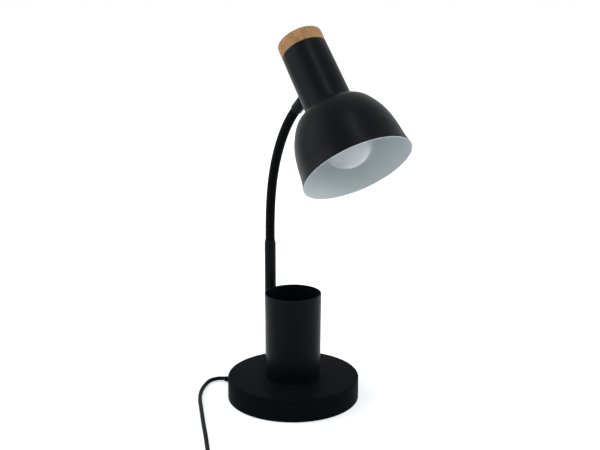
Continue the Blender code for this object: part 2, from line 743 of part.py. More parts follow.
def seat_rings(frame, seat_radius, outer_first):
    """Returns rings on the round seat about a frame's origin, between the neck's side and its bore."""
    rim = math.asin(NECK_RADIUS / seat_radius)
    bore = math.asin(NECK_BORE_RADIUS / seat_radius)
    rings = []
    for step in range(SEAT_STEPS + 1):
        polar = rim + (bore - rim) * step / SEAT_STEPS
        rings.append(ring(frame @ at(z=seat_radius * math.cos(polar)), seat_radius * math.sin(polar),
                          NECK_SIDES))
    return rings if outer_first else rings[::-1]


def make_neck_section(number, pivot, finishes):
    """Adds one ribbed section. Its round top seats in the hollow foot of the next one."""
    foot = NECK_SECTION_LENGTH * (number - 1)
    head = NECK_SECTION_LENGTH * number
    seat_depth = math.sqrt(SEAT_RADIUS**2 - NECK_RADIUS**2)
    cup_radius = SEAT_RADIUS + FIT_GAP
    cup_depth = math.sqrt(cup_radius**2 - NECK_RADIUS**2)
    first = number == 1
    last = number == NECK_SECTIONS
    start = foot if first else foot + cup_depth
    end = head if last else head + seat_depth
    rings = []
    for step in range(1, 2 * NECK_RIBS):
        radius = NECK_RADIUS - (NECK_GROOVE_DEPTH if step % 2 else 0.0)
        rings.append(ring(neck_frame(start + (end - start) * step / (2 * NECK_RIBS)), radius, NECK_SIDES))
    top_frame = neck_frame(head)
    foot_frame = neck_frame(foot)
    if last:
        rings += [ring(top_frame, radius, NECK_SIDES) for radius in (NECK_RADIUS, NECK_BORE_RADIUS)]
    else:
        rings += seat_rings(top_frame, SEAT_RADIUS, outer_first=True)
    rings.append(ring(neck_frame((start + end) / 2), NECK_BORE_RADIUS, NECK_SIDES))
    if first:
        rings += [ring(foot_frame, radius, NECK_SIDES) for radius in (NECK_BORE_RADIUS, NECK_RADIUS)]
    else:
        rings += seat_rings(foot_frame, cup_radius, outer_first=False)
    name = f"gooseneck_section_{number}"
    local = [[pivot.place.inverted() @ point for point in points] for points in rings]
    add_object(name, lofted_mesh(name, local, joined=True), pivot, pivot.place, finishes["black_paint"])


def head_frame():
    """Returns the frame at the middle of the shade's mouth, +Z along the head's axis to its cap."""
    end = neck_frame(NECK_SECTION_LENGTH * NECK_SECTIONS)
    along_arm = (end.to_3x3() @ Vector((0, 0, 1))).normalized()
    up_axis = Vector((0.0, along_arm.z, -along_arm.y))
    reach = FIT_GAP + FERRULE_LENGTH + FIT_GAP + neck_radius_at(FERRULE_AT)
    mouth = end.translation + along_arm * reach - up_axis * FERRULE_AT
    return along(mouth, up_axis)


def neck_radius_at(height):
    """Returns the outer radius of the shade's slim upper part."""
    share = (height - SHADE_DOME_HEIGHT) / (SHADE_TOP_HEIGHT - SHADE_DOME_HEIGHT)
    return SHADE_ROOT_RADIUS + (SHADE_TOP_RADIUS - SHADE_ROOT_RADIUS) * share


def inset(points, distance):
    """Returns an open outline moved to its right by a distance."""
    moved = []
    for index, here in enumerate(points):
        ahead = (points[min(index + 1, len(points) - 1)] - here).normalized()
        behind = (here - points[max(index - 1, 0)]).normalized()
        if index == 0:
            behind = ahead
        if index == len(points) - 1:
            ahead = behind
        normal = Vector((ahead.y + behind.y, -ahead.x - behind.x)).normalized()
        moved.append(here + normal * (distance / max(0.5, normal.dot(Vector((ahead.y, -ahead.x))))))
    return moved


def make_shade(head, finishes):
    """Adds the shade: a bell with a slim upper part, closed by a disc under the wooden cap."""
    drop = SHADE_MOUTH_RADIUS - SHADE_ROOT_RADIUS
    dome = [
        (SHADE_MOUTH_RADIUS - drop * fall, SHADE_DOME_HEIGHT * share)
        for share, fall in zip(DOME_HEIGHT_SHARES, DOME_DROP_SHARES)
    ]
    dome[-1] = (*dome[-1], SHADE_ROOT_ROUND)
    outer = rounded(dome + [(SHADE_TOP_RADIUS, SHADE_TOP_HEIGHT)], steps=2)
    inner = inset(outer, -SHADE_WALL)
    disc_low = SHADE_TOP_HEIGHT - SHADE_WALL
    inner[-1] = Vector((inner[-1].x, disc_low))
    hole = CAP_SCREW_RADIUS + FIT_GAP
    points = outer + [Vector((hole, SHADE_TOP_HEIGHT)), Vector((hole, disc_low))] + inner[::-1]
    shade = add_object("shade", turned_mesh("shade", points, SHADE_SIDES), head, head.place,
                       finishes["black_paint"])
    wall = neck_radius_at(FERRULE_AT)
    drill(shade, "shade_side_hole", NIPPLE_RADIUS + FIT_GAP, wall - 3 * SHADE_WALL, wall + CUT_OVERRUN, head,
          ferrule_frame(head), sides=TUBE_SIDES)


def ferrule_frame(head):
    """Returns the frame on the head's axis, level with the ferrule, whose +Z points back along the arm."""
    return head.place @ at(z=FERRULE_AT) @ Matrix.Rotation(-math.pi / 2, 4, "X")


def make_cap(head, finishes):
    """Adds the wooden cap and its screw from below."""
    low = SHADE_TOP_HEIGHT + FIT_GAP
    high = low + CAP_HEIGHT
    pilot = CAP_SCREW_RADIUS + FIT_GAP
    pilot_top = SHADE_TOP_HEIGHT - SHADE_WALL - FIT_GAP + CAP_SCREW_LENGTH + FIT_GAP
    turned(
        "wood_cap",
        [
            (0.0, high), (SHADE_TOP_RADIUS, high, CAP_TOP_ROUND), (SHADE_TOP_RADIUS, low, CAP_FOOT_ROUND),
            (pilot, low), (pilot, pilot_top), (0.0, pilot_top),
        ],
        CUP_SIDES, head, head.place, finishes["wood"],
    )
    screw("cap_screw", CAP_SCREW_RADIUS, CAP_SCREW_HEAD_RADIUS, CAP_SCREW_HEAD_HEIGHT, CAP_SCREW_LENGTH, head,
          head.place @ at(z=SHADE_TOP_HEIGHT - SHADE_WALL - FIT_GAP), finishes["steel"])


def make_ferrule(head, finishes):
    """Adds the ferrule that joins the gooseneck to the head, shaped to the shade's side, and its nut."""
    frame = ferrule_frame(head)
    seat = neck_radius_at(FERRULE_AT) + FIT_GAP
    outer_end = seat + FERRULE_LENGTH
    nut_high = BRACKET_OUT - BRACKET_THICKNESS - FIT_GAP
    spigot_end = nut_high - LOCKNUT_THICKNESS - NIPPLE_OUT

    def saddle(radius):
        return [Vector((point.x, point.y, math.sqrt(seat**2 - point.x**2)))
                for point in ring(Matrix(), radius, TUBE_SIDES)]

    rings = [
        ring(at(z=outer_end), FERRULE_RADIUS - FERRULE_CHAMFER, TUBE_SIDES),
        ring(at(z=outer_end - FERRULE_CHAMFER), FERRULE_RADIUS, TUBE_SIDES),
        saddle(FERRULE_RADIUS),
        saddle(NIPPLE_RADIUS),
        ring(at(z=spigot_end), NIPPLE_RADIUS, TUBE_SIDES),
        ring(at(z=spigot_end), NIPPLE_BORE_RADIUS, TUBE_SIDES),
        ring(at(z=outer_end), NIPPLE_BORE_RADIUS, TUBE_SIDES),
    ]
    add_object("arm_ferrule", lofted_mesh("arm_ferrule", rings, joined=True), head, frame,
               finishes["black_paint"])
    hex_nut("ferrule_nut", LOCKNUT_FLATS, NIPPLE_RADIUS + FIT_GAP, LOCKNUT_THICKNESS, head,
            frame @ at(z=nut_high - LOCKNUT_THICKNESS), finishes["steel"])


def make_leads(root, head, finishes):
    """Adds the lead in the base and stem, the lead in the ferrule, and the two wires to the lampholder."""
    inner_radius = BASE_RADIUS - BASE_WALL
    start = inner_radius - RELIEF_FLANGE_FLAT - FIT_GAP - RELIEF_FLANGE_THICKNESS - FIT_GAP
    rise = STEM_TOP + COLLAR_HEIGHT
    route = [cord_exit_frame() @ Vector((0.0, 0.0, start)), *(Vector(point) for point in BASE_LEAD_ROUTE)]
    route += [Vector((0.0, STEM_PLACE_BACK, height)) for height in (BASE_HEIGHT, rise / 2, rise)]
    tube("base_lead", route, CORD_DIAMETER / 2, LEAD_RESOLUTION, root, finishes["rubber"])
    frame = ferrule_frame(head)
    outer_end = neck_radius_at(FERRULE_AT) + FIT_GAP + FERRULE_LENGTH
    sheath_end = WIRE_ROUTE[0][1] + FIT_GAP
    ends = [frame @ Vector((0.0, 0.0, height)) for height in (outer_end, sheath_end)]
    tube("head_lead", ends, CORD_DIAMETER / 2, LEAD_RESOLUTION, head, finishes["rubber"])
    for name, side in (("live_wire", 1.0), ("neutral_wire", -1.0)):
        points = [head.place @ Vector((x * side, y, FERRULE_AT + z)) for x, y, z in WIRE_ROUTE]
        tube(name, smooth_curve(points, WIRE_POINT_SPACING), WIRE_RADIUS, LEAD_RESOLUTION, head,
             finishes["wire"])


def bulb_cap_top():
    """Returns the height of the bulb's screw cap's end over the mouth."""
    return BULB_NECK_AT + FIT_GAP + BULB_CAP_LENGTH


def bulb_end():
    """Returns the height of the bulb's contact end over the mouth."""
    return bulb_cap_top() + FIT_GAP + BULB_SEAL_HEIGHT + FIT_GAP + BULB_TIP_HEIGHT


def core_disc_low():
    """Returns the height of the underside of the lampholder's insulating disc."""
    return bulb_end() + FIT_GAP + CONTACT_HEIGHT + FIT_GAP


def make_lampholder(head, finishes):
    """Adds the lampholder: its housing, insulating core, thread sleeve, contact, nipple, nut and bracket."""
    place = head.place
    disc_low = core_disc_low()
    sleeve_inner = BULB_CAP_RADIUS + SOCKET_GAP
    sleeve_outer = sleeve_inner + SOCKET_WALL
    skirt_inner = sleeve_outer + FIT_GAP
    skirt_low = disc_low - CORE_SKIRT
    disc_high = disc_low + CORE_DISC
    turned(
        "lampholder_core",
        [(0.0, disc_high), (CORE_RADIUS, disc_high), (CORE_RADIUS, skirt_low), (skirt_inner, skirt_low),
         (skirt_inner, disc_low), (0.0, disc_low)],
        TUBE_SIDES, head, place, finishes["ceramic"],
    )
    turned(
        "thread_sleeve",
        [(sleeve_outer, disc_low - FIT_GAP), (sleeve_outer, skirt_low), (sleeve_inner, skirt_low),
         (sleeve_inner, disc_low - FIT_GAP)],
        TUBE_SIDES, head, place, finishes["brass"],
    )
    contact_low = bulb_end() + FIT_GAP
    turned(
        "centre_contact",
        [(0.0, contact_low + CONTACT_HEIGHT), (CONTACT_RADIUS, contact_low + CONTACT_HEIGHT),
         (CONTACT_RADIUS, contact_low), (0.0, contact_low)],
        SMALL_SIDES, head, place, finishes["brass"],
    )
    nipple_hole = NIPPLE_RADIUS + FIT_GAP
    inner_radius = CORE_RADIUS + FIT_GAP
    holder = turned(
        "lampholder_shell",
        [
            (nipple_hole, HOLDER_TOP_AT), (HOLDER_TOP_RADIUS, HOLDER_TOP_AT),
            (HOLDER_RADIUS, HOLDER_SHOULDER_AT, HOLDER_SHOULDER_ROUND), (HOLDER_RADIUS, HOLDER_MOUTH_AT),
            (inner_radius, HOLDER_MOUTH_AT), (inner_radius, HOLDER_SHOULDER_AT - HOLDER_WALL / 2),
            (HOLDER_TOP_RADIUS, HOLDER_TOP_AT - HOLDER_WALL), (nipple_hole, HOLDER_TOP_AT - HOLDER_WALL),
        ],
        TUBE_SIDES, head, place, finishes["black_plastic"],
    )
    depth = 3 * (HOLDER_RADIUS - HOLDER_TOP_RADIUS)
    slot = extruded_mesh("lampholder_slot", box_points(HOLDER_SLOT_WIDTH, depth), HOLDER_SLOT_LOW,
                         HOLDER_SLOT_HIGH)
    combine(holder, add_object("lampholder_slot", slot, head, place @ at(y=HOLDER_RADIUS), None))
    nipple_low = HOLDER_TOP_AT - HOLDER_WALL - NIPPLE_OUT
    turned(
        "lampholder_nipple",
        [
            (NIPPLE_RADIUS, nipple_low + HOLDER_NIPPLE_LENGTH), (NIPPLE_RADIUS, nipple_low),
            (NIPPLE_BORE_RADIUS, nipple_low), (NIPPLE_BORE_RADIUS, nipple_low + HOLDER_NIPPLE_LENGTH),
        ],
        TUBE_SIDES, head, place, finishes["steel"],
    )
    leg_low = HOLDER_TOP_AT + FIT_GAP
    leg_high = leg_low + BRACKET_THICKNESS
    hex_nut("lampholder_nut", LOCKNUT_FLATS, nipple_hole, LOCKNUT_THICKNESS, head,
            place @ at(z=leg_high + FIT_GAP), finishes["steel"])
    bracket_inner = BRACKET_OUT - BRACKET_THICKNESS
    outline = rounded([
        (BRACKET_OUT, BRACKET_FOOT_AT), (BRACKET_OUT, leg_high, 2 * BRACKET_THICKNESS),
        (-BRACKET_PAST_AXIS, leg_high), (-BRACKET_PAST_AXIS, leg_low),
        (bracket_inner, leg_low, BRACKET_THICKNESS), (bracket_inner, BRACKET_FOOT_AT),
    ])
    mesh = extruded_mesh("holder_bracket", outline, -BRACKET_WIDTH / 2, BRACKET_WIDTH / 2)
    upright = Matrix(((0, 0, 1, 0), (1, 0, 0, 0), (0, 1, 0, 0), (0, 0, 0, 1)))
    bracket = add_object("holder_bracket", mesh, head, place @ upright, finishes["steel"])
    drill(bracket, "bracket_top_hole", nipple_hole, leg_low - CUT_OVERRUN, leg_high + CUT_OVERRUN, head,
          place, sides=TUBE_SIDES)
    drill(bracket, "bracket_side_hole", nipple_hole, bracket_inner - CUT_OVERRUN, BRACKET_OUT + CUT_OVERRUN,
          head, ferrule_frame(head), sides=TUBE_SIDES)


def make_bulb(bulb, finishes):
    """Adds the frosted globe bulb with its screw cap, seal and contact."""
    start = Vector((BULB_RADIUS * math.cos(BULB_TAPER_START),
                    BULB_CENTRE_AT + BULB_RADIUS * math.sin(BULB_TAPER_START)))
    rise = BULB_NECK_AT - start.y
    narrow = start.x - BULB_NECK_RADIUS
    outline = []
    steps = 9
    for step in range(1, steps + 1):
        angle = -math.pi / 2 + (math.pi / 2 + BULB_TAPER_START) * step / steps
        outline.append(Vector((BULB_RADIUS * math.cos(angle),
                               BULB_CENTRE_AT + BULB_RADIUS * math.sin(angle))))
    for height, width in zip(BULB_TAPER_HEIGHT_SHARES, BULB_TAPER_WIDTH_SHARES):
        outline.append(Vector((BULB_NECK_RADIUS + narrow * width, start.y + rise * height)))
    pole = Vector((0.0, BULB_CENTRE_AT - BULB_RADIUS))
    inside = inset(outline, -BULB_GLASS)
    inside[-1].y = BULB_NECK_AT
    mesh = turned_mesh("bulb_globe", [pole, *outline, *inside[::-1], pole + Vector((0.0, BULB_GLASS))],
                       BULB_SIDES)
    add_object("bulb_globe", mesh, bulb, head_frame(), finishes["frosted_glass"])
    low = BULB_NECK_AT + FIT_GAP
    high = bulb_cap_top()
    seal_low = high + FIT_GAP
    seal_high = seal_low + BULB_SEAL_HEIGHT
    tip_low = seal_high + FIT_GAP
    turned(
        "bulb_cap",
        [(0.0, high), (BULB_CAP_RADIUS, high, BULB_CAP_ROUND), (BULB_CAP_RADIUS, low), (0.0, low)],
        TUBE_SIDES, bulb, head_frame(), finishes["steel"],
    )
    turned(
        "bulb_seal",
        [(0.0, seal_high), (BULB_TIP_RADIUS + FIT_GAP, seal_high), (BULB_SEAL_RADIUS, seal_low),
         (0.0, seal_low)],
        TUBE_SIDES, bulb, head_frame(), finishes["black_plastic"],
    )
    turned(
        "bulb_contact",
        [(0.0, tip_low + BULB_TIP_HEIGHT), (BULB_TIP_RADIUS, tip_low + BULB_TIP_HEIGHT / 2),
         (BULB_TIP_RADIUS, tip_low), (0.0, tip_low)],
        SMALL_SIDES, bulb, head_frame(), finishes["brass"],
    )


def make_strain_relief(root, finishes):
    """Adds the tapered rubber relief that the cord leaves the base through."""
    inner_wall = BASE_RADIUS - BASE_WALL
    flange_high = inner_wall - RELIEF_FLANGE_FLAT - FIT_GAP
    flange_low = flange_high - RELIEF_FLANGE_THICKNESS
    root_at = BASE_RADIUS + FIT_GAP
    tip_at = root_at + RELIEF_LENGTH
    corners = [(0.0, tip_at), (RELIEF_TIP_RADIUS, tip_at)]
    step = RELIEF_LENGTH / (2 * RELIEF_GROOVES + 1)
    for count in range(2 * RELIEF_GROOVES, 0, -1):
        share = count / (2 * RELIEF_GROOVES + 1)
        radius = RELIEF_ROOT_RADIUS + (RELIEF_TIP_RADIUS - RELIEF_ROOT_RADIUS) * share
        corners.append((radius - (RELIEF_GROOVE_DEPTH if count % 2 else 0.0), root_at + step * count))
    corners += [
        (RELIEF_ROOT_RADIUS, root_at), (RELIEF_NECK_RADIUS, root_at), (RELIEF_NECK_RADIUS, flange_high),
        (RELIEF_FLANGE_RADIUS, flange_high), (RELIEF_FLANGE_RADIUS, flange_low), (0.0, flange_low),
    ]
    turned("strain_relief", corners, SMALL_SIDES, root, cord_exit_frame(), finishes["rubber"])


def switch_frame():
    """Returns the frame under the middle of the in-line switch, +X along the cord to the plug."""
    near = Vector(LEAD_ROUTE[-1])
    far = Vector(RUN_ROUTE[0])
    middle = (near + far) / 2
    heading = math.atan2(far.y - near.y, far.x - near.x)
    return at(middle.x, middle.y) @ Matrix.Rotation(heading, 4, "Z")


def switch_outline(shrink=0.0):
    """Returns the switch's outline from above: widest in the middle, tapered to the cord's ends."""
    half = SWITCH_LENGTH / 2 - shrink
    wide = SWITCH_WIDTH / 2 - shrink
    slim = SWITCH_END_WIDTH / 2 - shrink
    shoulder = half - SWITCH_WIDTH / 2
    return rounded([
        (-half, -slim), (-shoulder, -wide, SWITCH_CORNER_ROUND),
        (shoulder, -wide, SWITCH_CORNER_ROUND), (half, -slim),
        (half, slim), (shoulder, wide, SWITCH_CORNER_ROUND),
        (-shoulder, wide, SWITCH_CORNER_ROUND), (-half, slim),
    ])


def switch_shell(name, levels, root, finishes):
    """Adds a shell lofted through outlines given as (height, shrink)."""
    rings = [[Vector((point.x, point.y, height)) for point in switch_outline(shrink)]
             for height, shrink in levels]
    return add_object(name, lofted_mesh(name, rings), root, switch_frame(), finishes["black_plastic"])


def rocker_frame():
    """Returns the frame on the rocker's pivot, +Y along the pivot."""
    return switch_frame() @ at(z=ROCKER_PIVOT_HEIGHT)


def make_switch(root, rocker, finishes):
    """Adds the in-line switch: two shells, two screws and a rocker on moulded stubs."""
    frame = switch_frame()
    lower = switch_shell("switch_lower_shell", [
        (0.0, SWITCH_EDGE_ROUND), (SWITCH_EDGE_ROUND, 0.0), (SWITCH_SPLIT_HEIGHT, 0.0),
    ], root, finishes)
    upper_low = SWITCH_SPLIT_HEIGHT + FIT_GAP
    upper = switch_shell("switch_upper_shell", [
        (upper_low, 0.0), (SWITCH_HEIGHT - SWITCH_EDGE_ROUND, 0.0), (SWITCH_HEIGHT, SWITCH_EDGE_ROUND),
    ], root, finishes)
    window = box_points(2 * (ROCKER_HALF_LENGTH + 2 * FIT_GAP), 2 * (ROCKER_HALF_WIDTH + FIT_GAP))
    mesh = extruded_mesh("rocker_window", window, upper_low - CUT_OVERRUN, SWITCH_HEIGHT + CUT_OVERRUN)
    combine(upper, add_object("rocker_window", mesh, root, frame, None))
    lying = Matrix.Rotation(-math.pi / 2, 4, "X")
    reach = ROCKER_HALF_WIDTH + ROCKER_STUB_LENGTH
    drill(upper, "stub_holes", ROCKER_STUB_RADIUS + FIT_GAP, -reach - FIT_GAP, reach + FIT_GAP, root,
          frame @ at(z=ROCKER_PIVOT_HEIGHT) @ lying)
    shank_hole = SWITCH_SCREW_RADIUS + FIT_GAP
    head_hole = SWITCH_SCREW_HEAD_RADIUS + FIT_GAP
    for number, side in ((1, -1.0), (2, 1.0)):
        place = frame @ at(x=side * SWITCH_SCREW_SPREAD)
        seat = SWITCH_SCREW_SINK + SWITCH_SCREW_HEAD_HEIGHT
        drill(lower, f"switch_head_hole_{number}", head_hole, -CUT_OVERRUN, seat, root, place)
        drill(lower, f"switch_shank_hole_{number}", shank_hole, seat - CUT_OVERRUN,
              SWITCH_SPLIT_HEIGHT + CUT_OVERRUN, root, place)
        drill(upper, f"switch_pilot_{number}", shank_hole, upper_low - CUT_OVERRUN,
              seat + SWITCH_SCREW_LENGTH + FIT_GAP, root, place)
        screw(f"switch_screw_{number}", SWITCH_SCREW_RADIUS, SWITCH_SCREW_HEAD_RADIUS,
              SWITCH_SCREW_HEAD_HEIGHT, SWITCH_SCREW_LENGTH - FIT_GAP, root, place @ at(z=seat - FIT_GAP),
              finishes["steel"])
    outline = []
    low_angle = math.asin(ROCKER_DEPTH / ROCKER_HALF_LENGTH)
    high_angle = math.asin(ROCKER_WING_HEIGHT / ROCKER_HALF_LENGTH)
    steps = 4
    for side in (1.0, -1.0):
        arc = []
        for step in range(steps + 1):
            angle = -low_angle + (low_angle + high_angle) * step / steps
            arc.append((side * ROCKER_HALF_LENGTH * math.cos(angle), ROCKER_HALF_LENGTH * math.sin(angle)))
        outline += arc if side > 0 else arc[::-1]
        if side > 0:
            outline.append((0.0, ROCKER_MIDDLE_HEIGHT))
    mesh = extruded_mesh("switch_rocker", outline, -ROCKER_HALF_WIDTH, ROCKER_HALF_WIDTH)
    tilted = rocker.place @ Matrix.Rotation(ROCKER_REST_TILT, 4, "Y")
    body = add_object("switch_rocker", mesh, rocker, tilted @ Matrix.Rotation(math.pi / 2, 4, "X"),
                      finishes["black_plastic"])
    stub = extruded_mesh("rocker_stubs", [p[:2] for p in ring(Matrix(), ROCKER_STUB_RADIUS, SMALL_SIDES)],
                         -reach, reach)
    combine(body, add_object("rocker_stubs", stub, rocker, tilted @ lying, None), "UNION")


def coil_points():
    """Returns the centre line of the spare cord's coil: it spirals in, climbs a layer and spirals out."""
    count = round(COIL_TURNS * COIL_LOOP_POINTS)
    middle = COIL_TURNS / 2
    low = COIL_LIFT + CORD_DIAMETER / 2
    points = []
    for step in range(count + 1):
        turns = step / COIL_LOOP_POINTS
        from_middle = turns - middle
        radius = COIL_INNER_RADIUS + COIL_PITCH * abs(from_middle)
        climb = min(1.0, max(0.0, from_middle * 2 + 0.5))
        height = low + COIL_PITCH * climb * climb * (3 - 2 * climb)
        angle = COIL_START_ANGLE + math.tau * turns
        points.append(Vector((COIL_CENTRE[0] + radius * math.cos(angle),
                              COIL_CENTRE[1] + radius * math.sin(angle), height)))
    first = tangent_step(COIL_START_ANGLE) * -CORD_DIAMETER
    last = tangent_step(COIL_START_ANGLE + math.tau * COIL_TURNS) * CORD_DIAMETER
    return [points[0] + first, *points, points[-1] + last]


def tangent_step(angle):
    """Returns the direction in which a coil runs at an angle."""
    return Vector((-math.sin(angle), math.cos(angle), 0.0))


def least_gap(points):
    """Returns the least clear distance between two turns of a cord."""
    apart = COIL_LOOP_POINTS // 2
    nearest = min(
        (a - b).length for index, a in enumerate(points) for b in points[index + apart:]
    )
    return nearest - CORD_DIAMETER


def make_tie(root, finishes):
    """Adds the band that holds the coil."""
    outer_reach = COIL_INNER_RADIUS + COIL_PITCH * COIL_TURNS / 2 + CORD_DIAMETER / 2
    inner_reach = COIL_INNER_RADIUS - CORD_DIAMETER / 2
    width = outer_reach - inner_reach + 2 * FIT_GAP
    height = COIL_PITCH + CORD_DIAMETER + 2 * FIT_GAP
    middle_height = TIE_THICKNESS + height / 2
    outer = rounded([
        (x * (width / 2 + TIE_THICKNESS), y * (height / 2 + TIE_THICKNESS), TIE_CORNER_ROUND)
        for x, y in ((-1, -1), (1, -1), (1, 1), (-1, 1))
    ])
    inner = rounded([
        (x * width / 2, y * height / 2, TIE_CORNER_ROUND - TIE_THICKNESS)
        for x, y in ((-1, -1), (1, -1), (1, 1), (-1, 1))
    ])
    rings = [
        [Vector((point.x, side * TIE_WIDTH / 2, point.y)) for point in outline]
        for outline, side in ((outer, -1), (outer, 1), (inner, 1), (inner, -1))
    ]
    place = (at(*COIL_CENTRE, middle_height) @ Matrix.Rotation(TIE_ANGLE, 4, "Z")
             @ at(x=(outer_reach + inner_reach) / 2))
    add_object("cord_tie", lofted_mesh("cord_tie", rings, joined=True), root, place, finishes["rubber"])


def make_plug(root, finishes):
    """Adds the flat two-pin plug at the cord's end."""
    end = Vector(TAIL_ROUTE[-1])
    before = Vector(TAIL_ROUTE[-2])
    heading = math.atan2(end.y - before.y, end.x - before.x)
    flat = at(end.x, end.y, PLUG_HALF_THICKNESS) @ Matrix.Rotation(heading, 4, "Z")
    frame = flat @ Matrix.Rotation(math.pi / 2, 4, "Y") @ Matrix.Rotation(math.pi / 2, 4, "Z")
    rings = []
    for length_share, width_share, thickness_share in PLUG_STATIONS:
        outline = []
        for step in range(PLUG_SIDES):
            angle = math.tau * step / PLUG_SIDES
            across = math.copysign(abs(math.cos(angle)) ** PLUG_SQUARENESS, math.cos(angle))
            upward = math.copysign(abs(math.sin(angle)) ** PLUG_SQUARENESS, math.sin(angle))
            outline.append(Vector((across * PLUG_HALF_WIDTH * width_share,
                                   upward * PLUG_HALF_THICKNESS * thickness_share,
                                   FIT_GAP + PLUG_LENGTH * length_share)))
        rings.append(outline)
    add_object("plug_body", lofted_mesh("plug_body", rings), root, frame, finishes["black_plastic"])
    low = PLUG_LENGTH + 2 * FIT_GAP
    for number, side in ((1, -1.0), (2, 1.0)):
        turned(
            f"plug_pin_{number}",
            [(0.0, low + PIN_LENGTH), (PIN_RADIUS, low + PIN_LENGTH, PIN_ROUND), (PIN_RADIUS, low),
             (0.0, low)],
            SMALL_SIDES, root, frame @ at(x=side * PIN_SPREAD / 2), finishes["steel"],
        )


def trimmed(points, start_gap, end_gap):
    """Returns a line whose ends are drawn back by the given gaps."""
    first = points[0] + (points[1] - points[0]).normalized() * start_gap
    last = points[-1] + (points[-2] - points[-1]).normalized() * end_gap
    return [first, *points[1:-1], last]


def make_cord(root, finishes):
    """Adds the mains cord's free stretches, its coil, its tie and its plug."""
    coil = coil_points()
    tip = cord_exit_frame() @ Vector((0.0, 0.0, BASE_RADIUS + FIT_GAP + RELIEF_LENGTH))
    near = Vector(LEAD_ROUTE[-1])
    far = Vector(RUN_ROUTE[0])
    through = (far - near).normalized() * CORD_DIAMETER
    into_coil = (coil[1] - coil[0]).normalized() * CORD_DIAMETER
    out_of_coil = (coil[-1] - coil[-2]).normalized() * CORD_DIAMETER
    lead = [tip, *smooth_curve([*LEAD_ROUTE[:-1], near - through], CORD_POINT_SPACING), near]
    run = [far, *smooth_curve([far + through, *RUN_ROUTE[1:], coil[0] - into_coil], CORD_POINT_SPACING),
           coil[0]]
    tail = [coil[-1], *smooth_curve([coil[-1] + out_of_coil, *TAIL_ROUTE[:-1]], CORD_POINT_SPACING),
            Vector(TAIL_ROUTE[-1])]
    radius = CORD_DIAMETER / 2
    tube("cord_lead", trimmed(lead, FIT_GAP, 0.0), radius, CORD_RESOLUTION, root, finishes["rubber"])
    tube("cord_run", trimmed(run, 0.0, FIT_GAP), radius, CORD_RESOLUTION, root, finishes["rubber"])
    tube("cord_coil", coil, radius, LEAD_RESOLUTION, root, finishes["rubber"])
    tube("cord_tail", trimmed(tail, FIT_GAP, 0.0), radius, CORD_RESOLUTION, root, finishes["rubber"])
    whole = sum(path_length(points) for points in (lead, run, coil, tail)) + SWITCH_LENGTH
    print(f"cord length {whole:.3f} m, coil {path_length(coil):.3f} m")
    print(f"least gap in the coil {least_gap(coil):.5f} m")
    print(f"points on the free cord {len(lead) + len(run) + len(tail)}")


def main():
    """Builds the whole lamp."""
    clear_scene()
    finishes = make_finishes()
    root = Pivot("lamp", Matrix())
    make_base(root, finishes)
    make_cup(root, finishes)
    make_stem(root, finishes)
    make_strain_relief(root, finishes)
    make_neck_section(1, root, finishes)
    carrier = root
    for number in range(2, NECK_SECTIONS):
        carrier = Pivot(f"gooseneck_bend_{number - 1}", neck_frame(NECK_SECTION_LENGTH * (number - 1)),
                        carrier)
        make_neck_section(number, carrier, finishes)
    bend = Pivot(f"gooseneck_bend_{NECK_SECTIONS - 1}",
                 neck_frame(NECK_SECTION_LENGTH * (NECK_SECTIONS - 1)), carrier)
    make_neck_section(NECK_SECTIONS, bend, finishes)
    head = Pivot("head", head_frame(), bend)
    make_ferrule(head, finishes)
    make_shade(head, finishes)
    make_cap(head, finishes)
    make_lampholder(head, finishes)
    bulb = Pivot("bulb_slide", head_frame(), head)
    make_bulb(bulb, finishes)
    make_leads(root, head, finishes)
    rocker = Pivot("switch_rock", rocker_frame(), root)
    make_switch(root, rocker, finishes)
    make_cord(root, finishes)
    make_tie(root, finishes)
    make_plug(root, finishes)
    for number in range(1, NECK_SECTIONS):
        frame = neck_frame(NECK_SECTION_LENGTH * number)
        axis = frame.to_3x3() @ Vector((1, 0, 0) if number % 2 else (0, 1, 0))
        print(f"gooseneck_bend_{number}", [round(value, 6) for value in (*frame.translation, *axis)])
    print("head", [[round(value, 6) for value in row] for row in head_frame()])
    print("rocker", [[round(value, 6) for value in row] for row in rocker_frame()])


main()
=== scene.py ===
"""Looks of a desk lamp with a pen holder: its pieces, finishes, camera and studio.

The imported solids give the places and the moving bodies. Lengths are metres, +Z is up, and the
head leans towards -Y over the cup.
"""

import logging
import math
from dataclasses import dataclass
from enum import Enum
from typing import Any, Callable, Iterable, Optional, Sequence, Union

import bmesh
import bpy
from mathutils import Matrix, Vector


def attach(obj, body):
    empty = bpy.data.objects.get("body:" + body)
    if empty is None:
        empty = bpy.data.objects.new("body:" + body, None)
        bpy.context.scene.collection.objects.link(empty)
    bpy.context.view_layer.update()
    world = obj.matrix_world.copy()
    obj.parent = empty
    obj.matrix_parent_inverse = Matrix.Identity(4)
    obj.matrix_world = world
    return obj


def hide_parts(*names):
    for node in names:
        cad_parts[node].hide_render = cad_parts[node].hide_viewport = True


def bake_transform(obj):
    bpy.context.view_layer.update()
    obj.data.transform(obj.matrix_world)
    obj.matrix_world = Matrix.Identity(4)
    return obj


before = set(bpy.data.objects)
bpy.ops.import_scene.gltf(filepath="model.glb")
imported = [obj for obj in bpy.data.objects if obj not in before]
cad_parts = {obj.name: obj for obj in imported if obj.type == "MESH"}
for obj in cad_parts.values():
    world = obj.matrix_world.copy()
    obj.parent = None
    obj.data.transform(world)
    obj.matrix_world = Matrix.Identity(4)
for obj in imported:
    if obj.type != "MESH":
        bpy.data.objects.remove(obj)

log = logging.getLogger("desk_lamp")

Point = tuple[float, float, float]
Colour = tuple[float, float, float]
Corner = tuple[float, ...]

HEAD_TILT = math.radians(40.88)


# Shader maths


